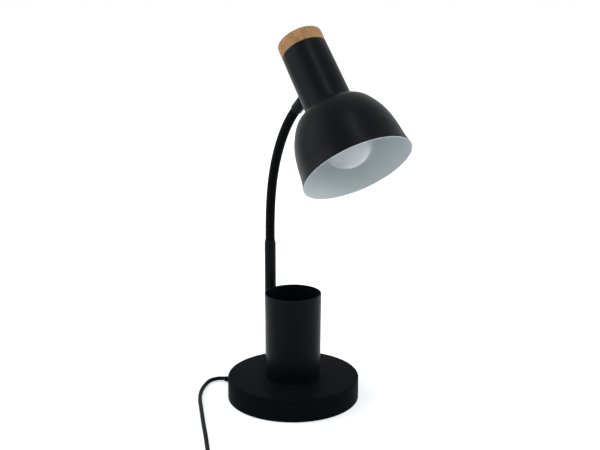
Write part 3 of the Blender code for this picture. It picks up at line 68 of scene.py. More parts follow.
class Signal:
    """A node's output that can stand in Python expressions.

    Args:
        graph: the material graph that the output belongs to.
        socket: the output itself.
    """

    def __init__(self, graph: "Graph", socket: bpy.types.NodeSocket) -> None:
        """Keeps the graph and the output."""
        self.graph = graph
        self.socket = socket

    def __add__(self, other: "Term") -> "Signal":
        """Returns the sum."""
        return self.graph.maths("ADD", self, other)

    def __radd__(self, other: "Term") -> "Signal":
        """Returns the sum with the sides swapped."""
        return self.graph.maths("ADD", other, self)

    def __mul__(self, other: "Term") -> "Signal":
        """Returns the product."""
        return self.graph.maths("MULTIPLY", self, other)

    def __rmul__(self, other: "Term") -> "Signal":
        """Returns the product with the sides swapped."""
        return self.graph.maths("MULTIPLY", other, self)


Term = Union[Signal, int, float]


class Graph:
    """One material's nodes.

    Args:
        name: the material's name.
    """

    def __init__(self, name: str) -> None:
        """Starts a material with a Principled shader."""
        self.material = bpy.data.materials.new(name)
        self.material.use_nodes = True
        self.tree = self.material.node_tree
        self.shader = self.tree.nodes["Principled BSDF"]

    def node(self, kind: str, settings: Optional[dict[str, Any]] = None, **values: Any) -> bpy.types.Node:
        """Adds a node.

        Args:
            kind: the node's type, without its ShaderNode prefix.
            settings: properties of the node, and "stops" for a ramp's (place, colour) pairs.
            values: numbers, tuples or signals for its inputs, with _ for a space in an input's name.

        Returns:
            The node.
        """
        made = self.tree.nodes.new(f"ShaderNode{kind}")
        for key, value in (settings or {}).items():
            if key == "stops":
                self.set_stops(made, value)
            else:
                setattr(made, key, value)
        for key, value in values.items():
            self.feed(made.inputs[key.replace("_", " ")], value)
        return made

    def set_stops(self, ramp: bpy.types.Node, stops: Sequence[tuple[float, Colour]]) -> None:
        """Sets a colour ramp's stops.

        Args:
            ramp: the colour ramp node.
            stops: (place, colour) pairs in rising order.
        """
        elements = ramp.color_ramp.elements
        while len(elements) < len(stops):
            elements.new(1.0)
        for element, (place, colour) in zip(elements, stops):
            element.position = place
            element.color = (*colour, 1.0)

    def feed(self, socket: bpy.types.NodeSocket, value: Any) -> None:
        """Links a signal to an input, or sets a plain value on it.

        Args:
            socket: the input.
            value: a signal, a number or a tuple.
        """
        if isinstance(value, Signal):
            self.tree.links.new(value.socket, socket)
        elif isinstance(value, tuple) and socket.type == "RGBA":
            socket.default_value = (*value, 1.0)[:4]
        else:
            socket.default_value = value

    def maths(self, operation: str, *terms: Term) -> Signal:
        """Returns the result of a Math node on the given terms."""
        made = self.node("Math", {"operation": operation})
        for socket, term in zip(made.inputs, terms):
            self.feed(socket, term)
        return Signal(self, made.outputs[0])

    def place(self, stretch: Point = (1.0, 1.0, 1.0), turn: Point = (0.0, 0.0, 0.0)) -> Signal:
        """Returns Object coordinates, turned and then stretched.

        Args:
            stretch: a factor for each axis.
            turn: the angles that bring the pattern in line with the piece, in radians.

        Returns:
            The coordinates.
        """
        source = Signal(self, self.node("TexCoord").outputs["Object"])
        if turn != (0.0, 0.0, 0.0):
            turned = self.node("Mapping", {"vector_type": "POINT"}, Vector=source, Rotation=turn)
            source = Signal(self, turned.outputs["Vector"])
        made = self.node("Mapping", {"vector_type": "POINT"}, Vector=source, Scale=stretch)
        return Signal(self, made.outputs["Vector"])

    def noise(self, place: Signal, scale: float, detail: float = 2.0, roughness: float = 0.5) -> Signal:
        """Returns a noise between 0 and 1 at a place."""
        made = self.node("TexNoise", None, Vector=place, Scale=scale, Detail=detail, Roughness=roughness)
        return Signal(self, made.outputs["Fac"])

    def blend(self, factor: Term, first: Any, second: Any) -> Signal:
        """Returns a mix of two colours.

        Args:
            factor: 0 for the first and 1 for the second.
            first: a colour or a signal.
            second: a colour or a signal.

        Returns:
            The mixed colour.
        """
        made = self.node("Mix", {"data_type": "RGBA"})
        self.feed(made.inputs["Factor"], factor)
        self.feed(made.inputs[6], first)
        self.feed(made.inputs[7], second)
        return Signal(self, made.outputs[2])

    def ramp(self, value: Signal, stops: Sequence[tuple[float, Colour]]) -> Signal:
        """Returns the colour that a ramp gives for a value."""
        return Signal(self, self.node("ValToRGB", {"stops": stops}, Fac=value).outputs["Color"])

    def relief(self, height: Signal, depth: float, strength: float = 1.0) -> None:
        """Bumps the surface.

        Args:
            height: the pattern, between 0 and 1.
            depth: how deep a full step is, in metres.
            strength: how much of the bump shows.
        """
        made = self.node("Bump", None, Height=height, Distance=depth, Strength=strength)
        self.shade(Normal=Signal(self, made.outputs["Normal"]))

    def shade(self, **values: Any) -> None:
        """Sets or links inputs of the Principled shader, with _ for a space in a name."""
        for key, value in values.items():
            self.feed(self.shader.inputs[key.replace("_", " ")], value)


# Finishes


@dataclass(frozen=True)
class SatinPaint:
    """A satin powder coat with a fine orange-peel grain.

    Attributes:
        name: the material's name.
        colour: the paint's colour.
        gloss: the mean roughness.
        grain: grains to a metre.
        sheen: the strength of the reflections.
    """

    name: str
    colour: Colour
    gloss: float = 0.44
    grain: float = 1500.0
    sheen: float = 0.13

    def make(self) -> bpy.types.Material:
        """Builds the material."""
        graph = Graph(self.name)
        place = graph.place()
        cloud = graph.noise(place, 14.0, 3.0)
        peel = graph.noise(place, self.grain, 2.0)
        worn = tuple(channel * 1.25 for channel in self.colour)
        graph.shade(
            Base_Color=graph.blend(cloud, self.colour, worn),
            Roughness=cloud * 0.06 + peel * 0.05 + (self.gloss - 0.055),
            Specular_IOR_Level=self.sheen,
        )
        graph.relief(peel, 0.00006, 0.35)
        return graph.material


@dataclass(frozen=True)
class MouldedPlastic:
    """A matt moulded plastic or rubber with a spark-eroded grain.

    Attributes:
        name: the material's name.
        colour: the plastic's colour.
        gloss: the mean roughness.
        grain: grains to a metre.
        depth: the grain's depth in metres.
        sheen: the strength of the reflections.
    """

    name: str
    colour: Colour
    gloss: float = 0.5
    grain: float = 2400.0
    depth: float = 0.00004
    sheen: float = 0.25

    def make(self) -> bpy.types.Material:
        """Builds the material."""
        graph = Graph(self.name)
        place = graph.place()
        cloud = graph.noise(place, 35.0, 2.0)
        grain = graph.noise(place, self.grain, 1.0)
        paler = tuple(channel * 1.25 for channel in self.colour)
        graph.shade(
            Base_Color=graph.blend(cloud, self.colour, paler),
            Roughness=grain * 0.10 + cloud * 0.05 + (self.gloss - 0.07),
            Specular_IOR_Level=self.sheen,
        )
        graph.relief(grain, self.depth, 0.4)
        return graph.material


@dataclass(frozen=True)
class TurnedWood:
    """Light close-grained wood with rays and faint year lines.

    Attributes:
        name: the material's name.
        pale: the colour between the year lines.
        deep: the colour of the year lines.
        pore: the colour of the rays.
        tilt: the angle that brings the head's axis upright, in radians.
    """

    name: str
    pale: Colour
    deep: Colour
    pore: Colour
    tilt: float

    def make(self) -> bpy.types.Material:
        """Builds the material."""
        graph = Graph(self.name)
        upright = (self.tilt, 0.0, 0.0)
        broad = graph.noise(graph.place((90.0, 90.0, 40.0), upright), 1.6, 4.0, 0.6)
        lines = graph.noise(graph.place((700.0, 700.0, 30.0), upright), 1.5, 3.0, 0.6)
        rays = graph.noise(graph.place((1500.0, 1500.0, 160.0), upright), 1.0, 2.0, 0.5)
        body = graph.ramp(broad * 0.6 + lines * 0.4,
                          ((0.38, self.deep), (0.56, self.pale), (0.72, self.pale)))
        flecks = graph.maths("GREATER_THAN", rays, 0.60) * 0.45
        graph.shade(Base_Color=graph.blend(flecks, body, self.pore), Roughness=lines * 0.16 + 0.46,
                    Specular_IOR_Level=0.25)
        graph.relief(lines * 0.6 + rays * 0.4, 0.00008, 0.35)
        return graph.material


@dataclass(frozen=True)
class OpalGlass:
    """White frosted glass with a soft satin skin.

    Attributes:
        name: the material's name.
        colour: the glass's colour.
    """

    name: str
    colour: Colour

    def make(self) -> bpy.types.Material:
        """Builds the material."""
        graph = Graph(self.name)
        place = graph.place()
        cloud = graph.noise(place, 22.0, 2.0)
        frost = graph.noise(place, 3200.0, 1.0)
        cooler = (self.colour[0] * 0.95, self.colour[1] * 0.98, self.colour[2])
        graph.shade(
            Base_Color=graph.blend(cloud, self.colour, cooler),
            Roughness=frost * 0.10 + 0.26,
            Coat_Weight=0.25,
            Coat_Roughness=0.25,
        )
        graph.relief(frost, 0.00002, 0.3)
        return graph.material


@dataclass(frozen=True)
class Metal:
    """Bare or plated metal with fine wear.

    Attributes:
        name: the material's name.
        colour: the metal's colour.
        gloss: the mean roughness.
        grain: grains to a metre.
        depth: the grain's depth in metres.
    """

    name: str
    colour: Colour
    gloss: float = 0.32
    grain: float = 900.0
    depth: float = 0.00002

    def make(self) -> bpy.types.Material:
        """Builds the material."""
        graph = Graph(self.name)
        place = graph.place()
        cloud = graph.noise(place, 60.0, 3.0)
        grain = graph.noise(place, self.grain, 2.0)
        dull = tuple(channel * 0.78 for channel in self.colour)
        graph.shade(
            Base_Color=graph.blend(cloud, self.colour, dull),
            Roughness=cloud * 0.14 + grain * 0.10 + (self.gloss - 0.12),
            Metallic=1.0,
        )
        graph.relief(grain, self.depth, 0.4)
        return graph.material


class Finish(Enum):
    """The lamp's finishes."""

    PAINT = SatinPaint("satin_black_paint", (0.0034, 0.0039, 0.0054), 0.36, 1500.0, 0.052)
    BASE_PAINT = SatinPaint("satin_black_base", (0.0040, 0.0043, 0.0052), 0.50, 1500.0, 0.008)
    NECK = SatinPaint("satin_black_neck", (0.0024, 0.0026, 0.0030), 0.48, 2600.0, 0.035)
    WHITE_PAINT = SatinPaint("matt_white_paint", (0.635, 0.69, 0.70), 0.62, 1300.0, 0.3)
    WOOD = TurnedWood("light_beech", (0.430, 0.232, 0.090), (0.285, 0.140, 0.048), (0.165, 0.072, 0.026),
                      HEAD_TILT)
    GLASS = OpalGlass("opal_glass", (0.62, 0.655, 0.68))
    STEEL = Metal("plated_steel", (0.60, 0.60, 0.60))
    TIN = Metal("bulb_cap_metal", (0.66, 0.65, 0.62), 0.26)
    BRASS = Metal("plain_brass", (0.72, 0.52, 0.24), 0.34)
    IRON = Metal("cast_iron", (0.13, 0.13, 0.135), 0.62, 500.0, 0.00020)
    PLASTIC = MouldedPlastic("black_plastic", (0.0050, 0.0050, 0.0054), 0.46, sheen=0.10)
    SHEATH = MouldedPlastic("cable_sheath", (0.0030, 0.0030, 0.0034), 0.42, 1400.0, 0.00002, 0.04)
    FOAM = MouldedPlastic("foam_rubber", (0.022, 0.022, 0.023), 0.88, 700.0, 0.00030)
    PORCELAIN = MouldedPlastic("glazed_porcelain", (0.78, 0.76, 0.70), 0.22, 300.0, 0.00003, 0.5)
    LIVE = MouldedPlastic("brown_insulation", (0.120, 0.045, 0.018), 0.42)
    NEUTRAL = MouldedPlastic("blue_insulation", (0.030, 0.110, 0.330), 0.42)
    SEAL = MouldedPlastic("black_glass_seal", (0.010, 0.010, 0.010), 0.20, 300.0, 0.00001, 0.5)


class FinishRack:
    """Makes each finish once and hands it out."""

    def __init__(self) -> None:
        """Starts with no finish made."""
        self.made: dict[Finish, bpy.types.Material] = {}

    def get(self, finish: Finish) -> bpy.types.Material:
        """Returns the material of a finish."""
        if finish not in self.made:
            self.made[finish] = finish.value.make()
        return self.made[finish]


RACK = FinishRack()


# Modelling


SMOOTH_ANGLE = 32.0
NEAR = 1e-6


def deselect() -> None:
    """Leaves edit mode and deselects every object."""
    if bpy.context.object and bpy.context.object.mode != "OBJECT":
        end_edit()
    bpy.ops.object.select_all(action="DESELECT")


def select_only(piece: bpy.types.Object) -> None:
    """Makes one object the selected and active one."""
    deselect()
    piece.select_set(True)
    bpy.context.view_layer.objects.active = piece


def at(x: float = 0.0, y: float = 0.0, z: float = 0.0) -> Matrix:
    """Returns a plain shift."""
    return Matrix.Translation((x, y, z))


def rounded(corners: Sequence[Corner], steps: int = 6) -> list[Vector]:
    """Returns an outline with its marked corners rounded.

    Args:
        corners: (x, y) points. A third value rounds the corner to that radius.
        steps: how many pieces a rounded corner has.

    Returns:
        The outline's points.
    """
    points: list[Vector] = []
    for index, corner in enumerate(corners):
        here = Vector(corner[:2])
        if len(corner) < 3:
            points.append(here)
            continue
        before = (Vector(corners[index - 1][:2]) - here).normalized()
        after = (Vector(corners[(index + 1) % len(corners)][:2]) - here).normalized()
        half = before.angle(after) / 2
        centre = here + (before + after).normalized() * (corner[2] / math.sin(half))
        start = here + before * (corner[2] / math.tan(half)) - centre
        end = here + after * (corner[2] / math.tan(half)) - centre
        turn = start.angle_signed(end)
        for step in range(steps + 1):
            points.append(centre + Matrix.Rotation(-turn * step / steps, 2) @ start)
    return points


def extrude_by(shift: Sequence[float]) -> None:
    """Extrudes what is selected in edit mode by a shift."""
    bpy.ops.mesh.extrude_region_move(TRANSFORM_OT_translate={"value": tuple(shift)})


def draw_up(stations: Sequence[Point]) -> None:
    """Draws the selected ring or plate up from station to station.

    Args:
        stations: each one's height, width and depth. The first is where the selection stands.
    """
    for before, after in zip(stations, stations[1:]):
        extrude_by((0.0, 0.0, after[0] - before[0]))
        ratios = (after[1] / before[1], after[2] / before[2], 1.0)
        bpy.ops.transform.resize(value=ratios, center_override=(0.0, 0.0, after[0]))


def start_edit() -> None:
    """Enters edit mode with the whole mesh selected."""
    bpy.ops.object.mode_set(mode="EDIT")
    bpy.ops.mesh.select_all(action="SELECT")


def end_edit() -> None:
    """Leaves edit mode."""
    bpy.ops.object.mode_set(mode="OBJECT")


def poly_line(name: str, points: Sequence[Vector]) -> bpy.types.Object:
    """Returns a curve with straight stretches through points."""
    curve = bpy.data.curves.new(name, "CURVE")
    curve.dimensions = "3D"
    spline = curve.splines.new("POLY")
    spline.points.add(len(points) - 1)
    for knot, point in zip(spline.points, points):
        knot.co = (*point, 1.0)
    item = bpy.data.objects.new(name, curve)
    bpy.context.collection.objects.link(item)
    return item


def close_shell(angle: float = SMOOTH_ANGLE) -> None:
    """Merges doubles, turns the faces outwards and shades the active piece smooth.

    Args:
        angle: edges sharper than this many degrees stay sharp.
    """
    start_edit()
    bpy.ops.mesh.remove_doubles(threshold=2 * NEAR)
    bpy.ops.mesh.normals_make_consistent(inside=False)
    end_edit()
    bpy.ops.object.shade_smooth_by_angle(angle=math.radians(angle))


def set_down(piece: bpy.types.Object, place: Matrix) -> None:
    """Moves a piece to a place and puts that place into its mesh.

    Args:
        piece: the piece, modelled about the origin.
        place: where it goes.
    """
    select_only(piece)
    piece.matrix_world = place @ piece.matrix_world
    bpy.ops.object.transform_apply(location=True, rotation=True, scale=True)


def turned(name: str, outline: Sequence[Sequence[float]], sides: int, place: Matrix,
           angle: float = SMOOTH_ANGLE) -> bpy.types.Object:
    """Draws a round piece up, ring by ring, from a circle.

    Args:
        name: the piece's name.
        outline: (radius, height) points. It ends on the axis, or closes on itself if it starts off the axis.
        sides: facets round the piece.
        place: the frame whose +Z is the piece's axis.
        angle: edges sharper than this many degrees stay sharp.

    Returns:
        The piece.
    """
    points = [(max(point[0], 0.0), point[1]) for point in outline]
    pole_start = points[0][0] < NEAR
    pole_end = points[-1][0] < NEAR
    start_pole = points[0]
    if pole_start:
        points = points[1:]
    if pole_end:
        points = points[:-1]
    if not pole_start and not pole_end:
        points.append(points[0])
    deselect()
    bpy.ops.mesh.primitive_circle_add(vertices=sides, radius=points[0][0], location=(0.0, 0.0, points[0][1]))
    piece = bpy.context.object
    piece.name = name
    bpy.ops.object.transform_apply(location=True, rotation=True, scale=True)
    start_edit()
    draw_up([(height, radius, radius) for radius, height in points])
    if pole_end:
        extrude_by((0.0, 0.0, outline[-1][1] - points[-1][1]))
        bpy.ops.mesh.merge(type="CENTER")
    if pole_start:
        ring_radius, ring_height = points[0]
        select_edges(piece, lambda a, b: all(
            abs(end.z - ring_height) < NEAR / 10 and abs(math.hypot(end.x, end.y) - ring_radius) < NEAR
            for end in (a, b)), border=True)
        extrude_by((0.0, 0.0, start_pole[1] - points[0][1]))
        bpy.ops.mesh.merge(type="CENTER")
    close_shell(angle)
    set_down(piece, place)
    return piece


def select_edges(piece: bpy.types.Object, test: Callable[[Vector, Vector], bool],
                 border: bool = False) -> None:
    """Selects edges by place in edit mode, and nothing else.

    Args:
        piece: the piece in edit mode.
        test: whether an edge between two points is wanted.
        border: whether only open edges count.
    """
    bpy.ops.mesh.select_all(action="DESELECT")
    bpy.ops.mesh.select_mode(type="EDGE")
    mesh = bmesh.from_edit_mesh(piece.data)
    for edge in mesh.edges:
        edge.select_set(test(edge.verts[0].co, edge.verts[1].co) and (not border or edge.is_boundary))
    bmesh.update_edit_mesh(piece.data)


def select_faces(piece: bpy.types.Object, test: Callable[[Vector, Vector], bool]) -> None:
    """Selects faces by centre and normal in edit mode, and nothing else.

    Args:
        piece: the piece in edit mode.
        test: whether a face with that centre and normal is wanted.
    """
    bpy.ops.mesh.select_all(action="DESELECT")
    bpy.ops.mesh.select_mode(type="FACE")
    mesh = bmesh.from_edit_mesh(piece.data)
    for face in mesh.faces:
        face.select_set(test(face.calc_center_median(), face.normal))
    bmesh.update_edit_mesh(piece.data)


def box(name: str, low: Sequence[float], high: Sequence[float]) -> bpy.types.Object:
    """Adds a block between two corners, with its size in its mesh."""
    deselect()
    middle = [(a + b) / 2 for a, b in zip(low, high)]
    bpy.ops.mesh.primitive_cube_add(size=1.0, location=middle, scale=[b - a for a, b in zip(low, high)])
    piece = bpy.context.object
    piece.name = name
    bpy.ops.object.transform_apply(location=True, rotation=True, scale=True)
    return piece


def rod(name: str, radius: float, low: float, high: float, sides: int, place: Matrix) -> bpy.types.Object:
    """Adds a cylinder between two heights of a frame, with its place in its mesh."""
    deselect()
    middle = (0.0, 0.0, (low + high) / 2)
    bpy.ops.mesh.primitive_cylinder_add(vertices=sides, radius=radius, depth=high - low, location=middle)
    piece = bpy.context.object
    piece.name = name
    set_down(piece, place)
    return piece


def carve(piece: bpy.types.Object, tools: Iterable[bpy.types.Object]) -> None:
    """Cuts closed meshes from a piece and throws them away."""
    for tool in tools:
        select_only(piece)
        step = piece.modifiers.new(tool.name, "BOOLEAN")
        step.operation = "DIFFERENCE"
        step.solver = "EXACT"
        step.object = tool
        bpy.ops.object.modifier_apply(modifier=step.name)
        bpy.data.objects.remove(tool, do_unlink=True)


def soften(piece: bpy.types.Object, width: float, segments: int = 3, angle: float = 35.0) -> None:
    """Rounds a piece's sharp edges with an applied bevel.

    Args:
        piece: the piece.
        width: the bevel's width.
        segments: facets across the bevel.
        angle: edges sharper than this many degrees are rounded.
    """
    select_only(piece)
    step = piece.modifiers.new("edge_round", "BEVEL")
    step.width = width
    step.segments = segments
    step.limit_method = "ANGLE"
    step.angle_limit = math.radians(angle)
    step.harden_normals = False
    bpy.ops.object.modifier_apply(modifier=step.name)
    bpy.ops.object.shade_smooth_by_angle(angle=math.radians(SMOOTH_ANGLE))


def copied(piece: bpy.types.Object, name: str, shift: Matrix) -> bpy.types.Object:
    """Copies a finished piece, mesh and all, to another place.

    Args:
        piece: the piece.
        name: the copy's name.
        shift: the move from the piece's place to the copy's.

    Returns:
        The copy.
    """
    twin = piece.copy()
    twin.data = piece.data.copy()
    twin.name = name
    bpy.context.collection.objects.link(twin)
    twin.data.transform(shift)
    return twin


def finish_piece(piece: bpy.types.Object, finish: Finish, slot: str, body: str,
                 *nodes: str) -> bpy.types.Object:
    """Paints a piece, seats it on its body and lets it stand for solids.

    Args:
        piece: the finished piece.
        finish: its finish.
        slot: the record's material slot; not used.
        body: the CAD body that it rides on.
        nodes: the CAD nodes that it replaces.

    Returns:
        The piece.
    """
    piece.data.materials.clear()
    piece.data.materials.append(RACK.get(finish))
    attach(piece, body)
    if nodes:
        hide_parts(*nodes)
    log.info("%s rides on %s and stands for %s", piece.name, body, ", ".join(nodes) or "nothing")
    return piece


def dress_solid(node: str, finish: Finish) -> None:
    """Paints a CAD node that shows as it is."""
    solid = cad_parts[node]
    solid.data.materials.clear()
    solid.data.materials.append(RACK.get(finish))
    log.info("%s keeps its solid, in %s", node, finish.value.name)


# Places and lines


BASE_HEIGHT = 0.0284
STEM_BACK = 0.0505
EXIT_ANGLE = math.radians(120)
EXIT_HEIGHT = 0.005
MOUTH_CENTRE = (0.0, -0.125412, 0.305504)
ARM_HEIGHT = 0.115
HEAD = at(*MOUTH_CENTRE) @ Matrix.Rotation(-HEAD_TILT, 4, "X")
ARM = HEAD @ at(z=ARM_HEIGHT) @ Matrix.Rotation(-math.pi / 2, 4, "X")


def aimed(origin: Sequence[float], direction: Sequence[float]) -> Matrix:
    """Returns a frame at a point whose +Z runs along a direction."""
    return Matrix.Translation(origin) @ Vector(direction).to_track_quat("Z", "Y").to_matrix().to_4x4()


def smooth_line(points: Sequence[Sequence[float]], spacing: float) -> list[Vector]:
    """Returns evenly spaced points on a smooth line through given ones.

    Args:
        points: the points, in two or three dimensions.
        spacing: the wanted distance between the new ones.

    Returns:
        The new points, with both ends kept.
    """
    knots = [Vector(point) for point in points]
    knots = [knots[0] * 2 - knots[1], *knots, knots[-1] * 2 - knots[-2]]
    fine: list[Vector] = []
    steps = 24
    for a, b, c, d in zip(knots, knots[1:], knots[2:], knots[3:]):
        for step in range(steps):
            t = step / steps
            fine.append(0.5 * (
                2 * b + (c - a) * t + (2 * a - 5 * b + 4 * c - d) * t**2 + (3 * b - a - 3 * c + d) * t**3))
    fine.append(knots[-2])
    lengths = [0.0]
    for a, b in zip(fine, fine[1:]):
        lengths.append(lengths[-1] + (b - a).length)
    count = max(2, round(lengths[-1] / spacing))
    even: list[Vector] = []
    index = 0
    for step in range(count + 1):
        goal = lengths[-1] * step / count
        while index < len(fine) - 2 and lengths[index + 1] < goal:
            index += 1
        share = (goal - lengths[index]) / (lengths[index + 1] - lengths[index])
        even.append(fine[index].lerp(fine[index + 1], share))
    return even


def line_length(points: Sequence[Vector]) -> float:
    """Returns the length of a line through points."""
    return sum((b - a).length for a, b in zip(points, points[1:]))


@dataclass(frozen=True)
class PanHeadScrew:
    """A pan-head screw with a cross recess.

    Attributes:
        radius: the shank's radius.
        head_radius: the head's radius.
        head_height: how far the head stands below the frame's origin.
        length: how far the shank runs up from it.
        crown_share: the head's rounding as a share of its height.
        point_share: the point's radius as a share of the shank's.
        arm_share: the recess's half length as a share of the head's radius.
        slot_share: its half width as a share of the same.
        depth_share: its depth as a share of the head's height.
    """

    radius: float
    head_radius: float
    head_height: float
    length: float
    crown_share: float = 0.62
    point_share: float = 0.6
    arm_share: float = 0.52
    slot_share: float = 0.11
    depth_share: float = 0.65

    def build(self, name: str, place: Matrix) -> bpy.types.Object:
        """Returns a screw of this size in a frame."""
        head, high, radius = self.head_radius, self.head_height, self.radius
        outline = rounded([
            (0.0, -high), (head, -high, high * self.crown_share), (head, 0.0), (radius, 0.0),
            (radius, self.length - radius), (radius * self.point_share, self.length), (0.0, self.length),
        ], 5)
        piece = turned(name, outline, 32, Matrix())
        arm = head * self.arm_share
        slot = head * self.slot_share
        floor = -high * (1.0 - self.depth_share)
        for turn in (0.0, math.pi / 2):
            tool = box(f"{name}_recess", (-arm, -slot, -2 * high), (arm, slot, floor))
            set_down(tool, Matrix.Rotation(turn, 4, "Z"))
            carve(piece, [tool])
        close_shell()
        set_down(piece, place)
        return piece


COVER_SCREW = PanHeadScrew(0.0015, 0.003, 0.0012, 0.008)
CUP_SCREW = PanHeadScrew(0.0025, 0.005, 0.0024, 0.0120)
SWITCH_SCREW = PanHeadScrew(0.0012, 0.0025, 0.0014, 0.0072)


# Sub-assemblies


@dataclass
class Base:
    """The round weighted base with its foot, cover and screws.

    Attributes:
        radius: the base's radius.
        height: the base's height.
        wall: the housing's wall.
        edge: the top edge's rounding.
        rim_edge: the rim's rounding.
        lift: how far the housing's rim stands over the desk.
        slot_radius: the radius of the slot for the cord's relief.
        foot_radius: the foot pad's radius.
        foot_thickness: the foot pad's thickness.
        foot_edges: the pad's roundings above and below.
        screw_circle: the radius of the circle of screws.
        first_screw: the first screw's angle, in degrees.
        screws_count: how many screws there are.
    """

    radius: float = 0.080
    height: float = BASE_HEIGHT
    wall: float = 0.0025
    edge: float = 0.0022
    rim_edge: float = 0.0006
    lift: float = 0.0008
    slot_radius: float = 0.0037
    foot_radius: float = 0.058
    foot_thickness: float = 0.0016
    foot_edges: tuple[float, float] = (0.0002, 0.0005)
    screw_circle: float = 0.066
    first_screw: float = 30.0
    screws_count: int = 3

    def build(self) -> None:
        """Builds and dresses the base."""
        self.housing()
        self.foot()
        self.screws()
        dress_solid("base_cover", Finish.STEEL)
        dress_solid("base_weight", Finish.IRON)
        dress_solid("base_lead", Finish.SHEATH)

    def housing(self) -> None:
        """Builds the painted housing, open below, with the slot for the cord's relief."""
        inner = self.radius - self.wall
        under = self.height - self.wall
        outline = rounded([
            (0.0, self.height), (self.radius, self.height, self.edge),
            (self.radius, self.lift, self.rim_edge),
            (inner, self.lift), (inner, under), (0.0, under),
        ], 8)
        piece = turned("base_shell", outline, 160, Matrix())
        way_out = aimed((0.0, 0.0, EXIT_HEIGHT), (math.cos(EXIT_ANGLE), math.sin(EXIT_ANGLE), 0.0))
        tool = rod("cord_slot", self.slot_radius, inner - self.wall, self.radius + self.wall, 32, way_out)
        carve(piece, [tool])
        close_shell()
        finish_piece(piece, Finish.BASE_PAINT, "black_paint", "stand", "base_housing")

    def foot(self) -> None:
        """Builds the foam ring under the base."""
        above, below = self.foot_edges
        outline = rounded([
            (0.0, self.foot_thickness), (self.foot_radius, self.foot_thickness, above),
            (self.foot_radius, 0.0, below), (0.0, 0.0),
        ], 4)
        finish_piece(turned("foot_ring", outline, 96, Matrix()), Finish.FOAM, "foam", "stand", "foot_pad")

    def screws(self) -> None:
        """Builds one cover screw and copies it round the cover."""
        step = 360.0 / self.screws_count
        angles = [math.radians(self.first_screw + step * count) for count in range(self.screws_count)]
        place = Matrix.Rotation(angles[0], 4, "Z") @ at(x=self.screw_circle, z=self.foot_thickness)
        first = COVER_SCREW.build("cover_fastener_1", place)
        pieces = [first]
        for number, angle in enumerate(angles[1:], start=2):
            turn = Matrix.Rotation(angle - angles[0], 4, "Z")
            pieces.append(copied(first, f"cover_fastener_{number}", turn))
        for number, piece in enumerate(pieces, start=1):
            finish_piece(piece, Finish.STEEL, "steel", "stand", f"cover_screw_{number}")


@dataclass
class PenCup:
    """The open cup on the base, with the bolt in its floor.

    Attributes:
        low: the height of its underside.
        height: the cup's height.
        rim_radius: its outer radius at the rim.
        foot_radius: its outer radius at the foot.
        wall: its wall.
        floor: its floor's thickness.
        foot_edge: the rounding round its foot.
        rim_edge: the rim's roundings.
        floor_fillet: the rounding between wall and floor inside.
        bolt_gap: how far the bolt's head stands off the floor.
    """

    low: float = BASE_HEIGHT
    height: float = 0.1048
    rim_radius: float = 0.0341
    foot_radius: float = 0.0329
    wall: float = 0.0012
    floor: float = 0.0019
    foot_edge: float = 0.0009
    rim_edge: float = 0.00055
    floor_fillet: float = 0.0016
    bolt_gap: float = 0.0003

    def build(self) -> None:
        """Builds and dresses the cup."""
        top = self.low + self.height
        inside = self.low + self.floor
        outline = rounded([
            (0.0, self.low), (self.foot_radius, self.low, self.foot_edge),
            (self.rim_radius, top, self.rim_edge),
            (self.rim_radius - self.wall, top, self.rim_edge),
            (self.foot_radius - self.wall, inside, self.floor_fillet), (0.0, inside),
        ], 7)
        cup = turned("cup_shell", outline, 128, Matrix())
        finish_piece(cup, Finish.PAINT, "black_paint", "stand", "pen_cup")
        place = at(z=inside + self.bolt_gap) @ Matrix.Rotation(math.pi, 4, "X")
        finish_piece(CUP_SCREW.build("cup_fastener", place), Finish.STEEL, "steel", "stand", "cup_bolt")
        for node in ("cup_washer", "cup_nut"):
            dress_solid(node, Finish.STEEL)


@dataclass
class Stem:
    """The rigid stem behind the cup and the collar on its top.

    Attributes:
        back: how far behind the base's middle it stands.
        radius: the stem's radius.
        low: the height of its foot.
        top: the height of its top.
        tube_edges: the stem's roundings above and below.
        collar_height: the collar's height.
        collar_radius: the collar's radius at its top.
        collar_edge: the rounding round the collar's top.
        cone_foot: how far over the stem the collar starts to narrow.
        cone_edge: the rounding there.
        seam: the gap between stem and collar, and the rounding at it.
    """

    back: float = STEM_BACK
    radius: float = 0.0069
    low: float = BASE_HEIGHT
    top: float = 0.183
    tube_edges: tuple[float, float] = (0.0002, 0.0003)
    collar_height: float = 0.0058
    collar_radius: float = 0.0060
    collar_edge: float = 0.0006
    cone_foot: float = 0.0016
    cone_edge: float = 0.0012
    seam: float = 0.0002

    def build(self) -> None:
        """Builds and dresses the stem."""
        place = at(y=self.back)
        above, below = self.tube_edges
        tube = rounded([
            (0.0, self.top), (self.radius, self.top, above), (self.radius, self.low, below), (0.0, self.low),
        ], 3)
        finish_piece(turned("stem_skin", tube, 56, place), Finish.PAINT, "black_paint", "stand", "stem_tube")
        end = self.top + self.collar_height
        start = self.top + self.seam
        collar = rounded([
            (0.0, end), (self.collar_radius, end, self.collar_edge),
            (self.radius, self.top + self.cone_foot, self.cone_edge),
            (self.radius, start, self.seam), (0.0, start),
        ], 4)
        piece = turned("collar_skin", collar, 56, place)
        finish_piece(piece, Finish.PAINT, "black_paint", "stand", "stem_collar")
        for node in ("stem_nipple", "stem_washer", "stem_nut"):
            dress_solid(node, Finish.STEEL)


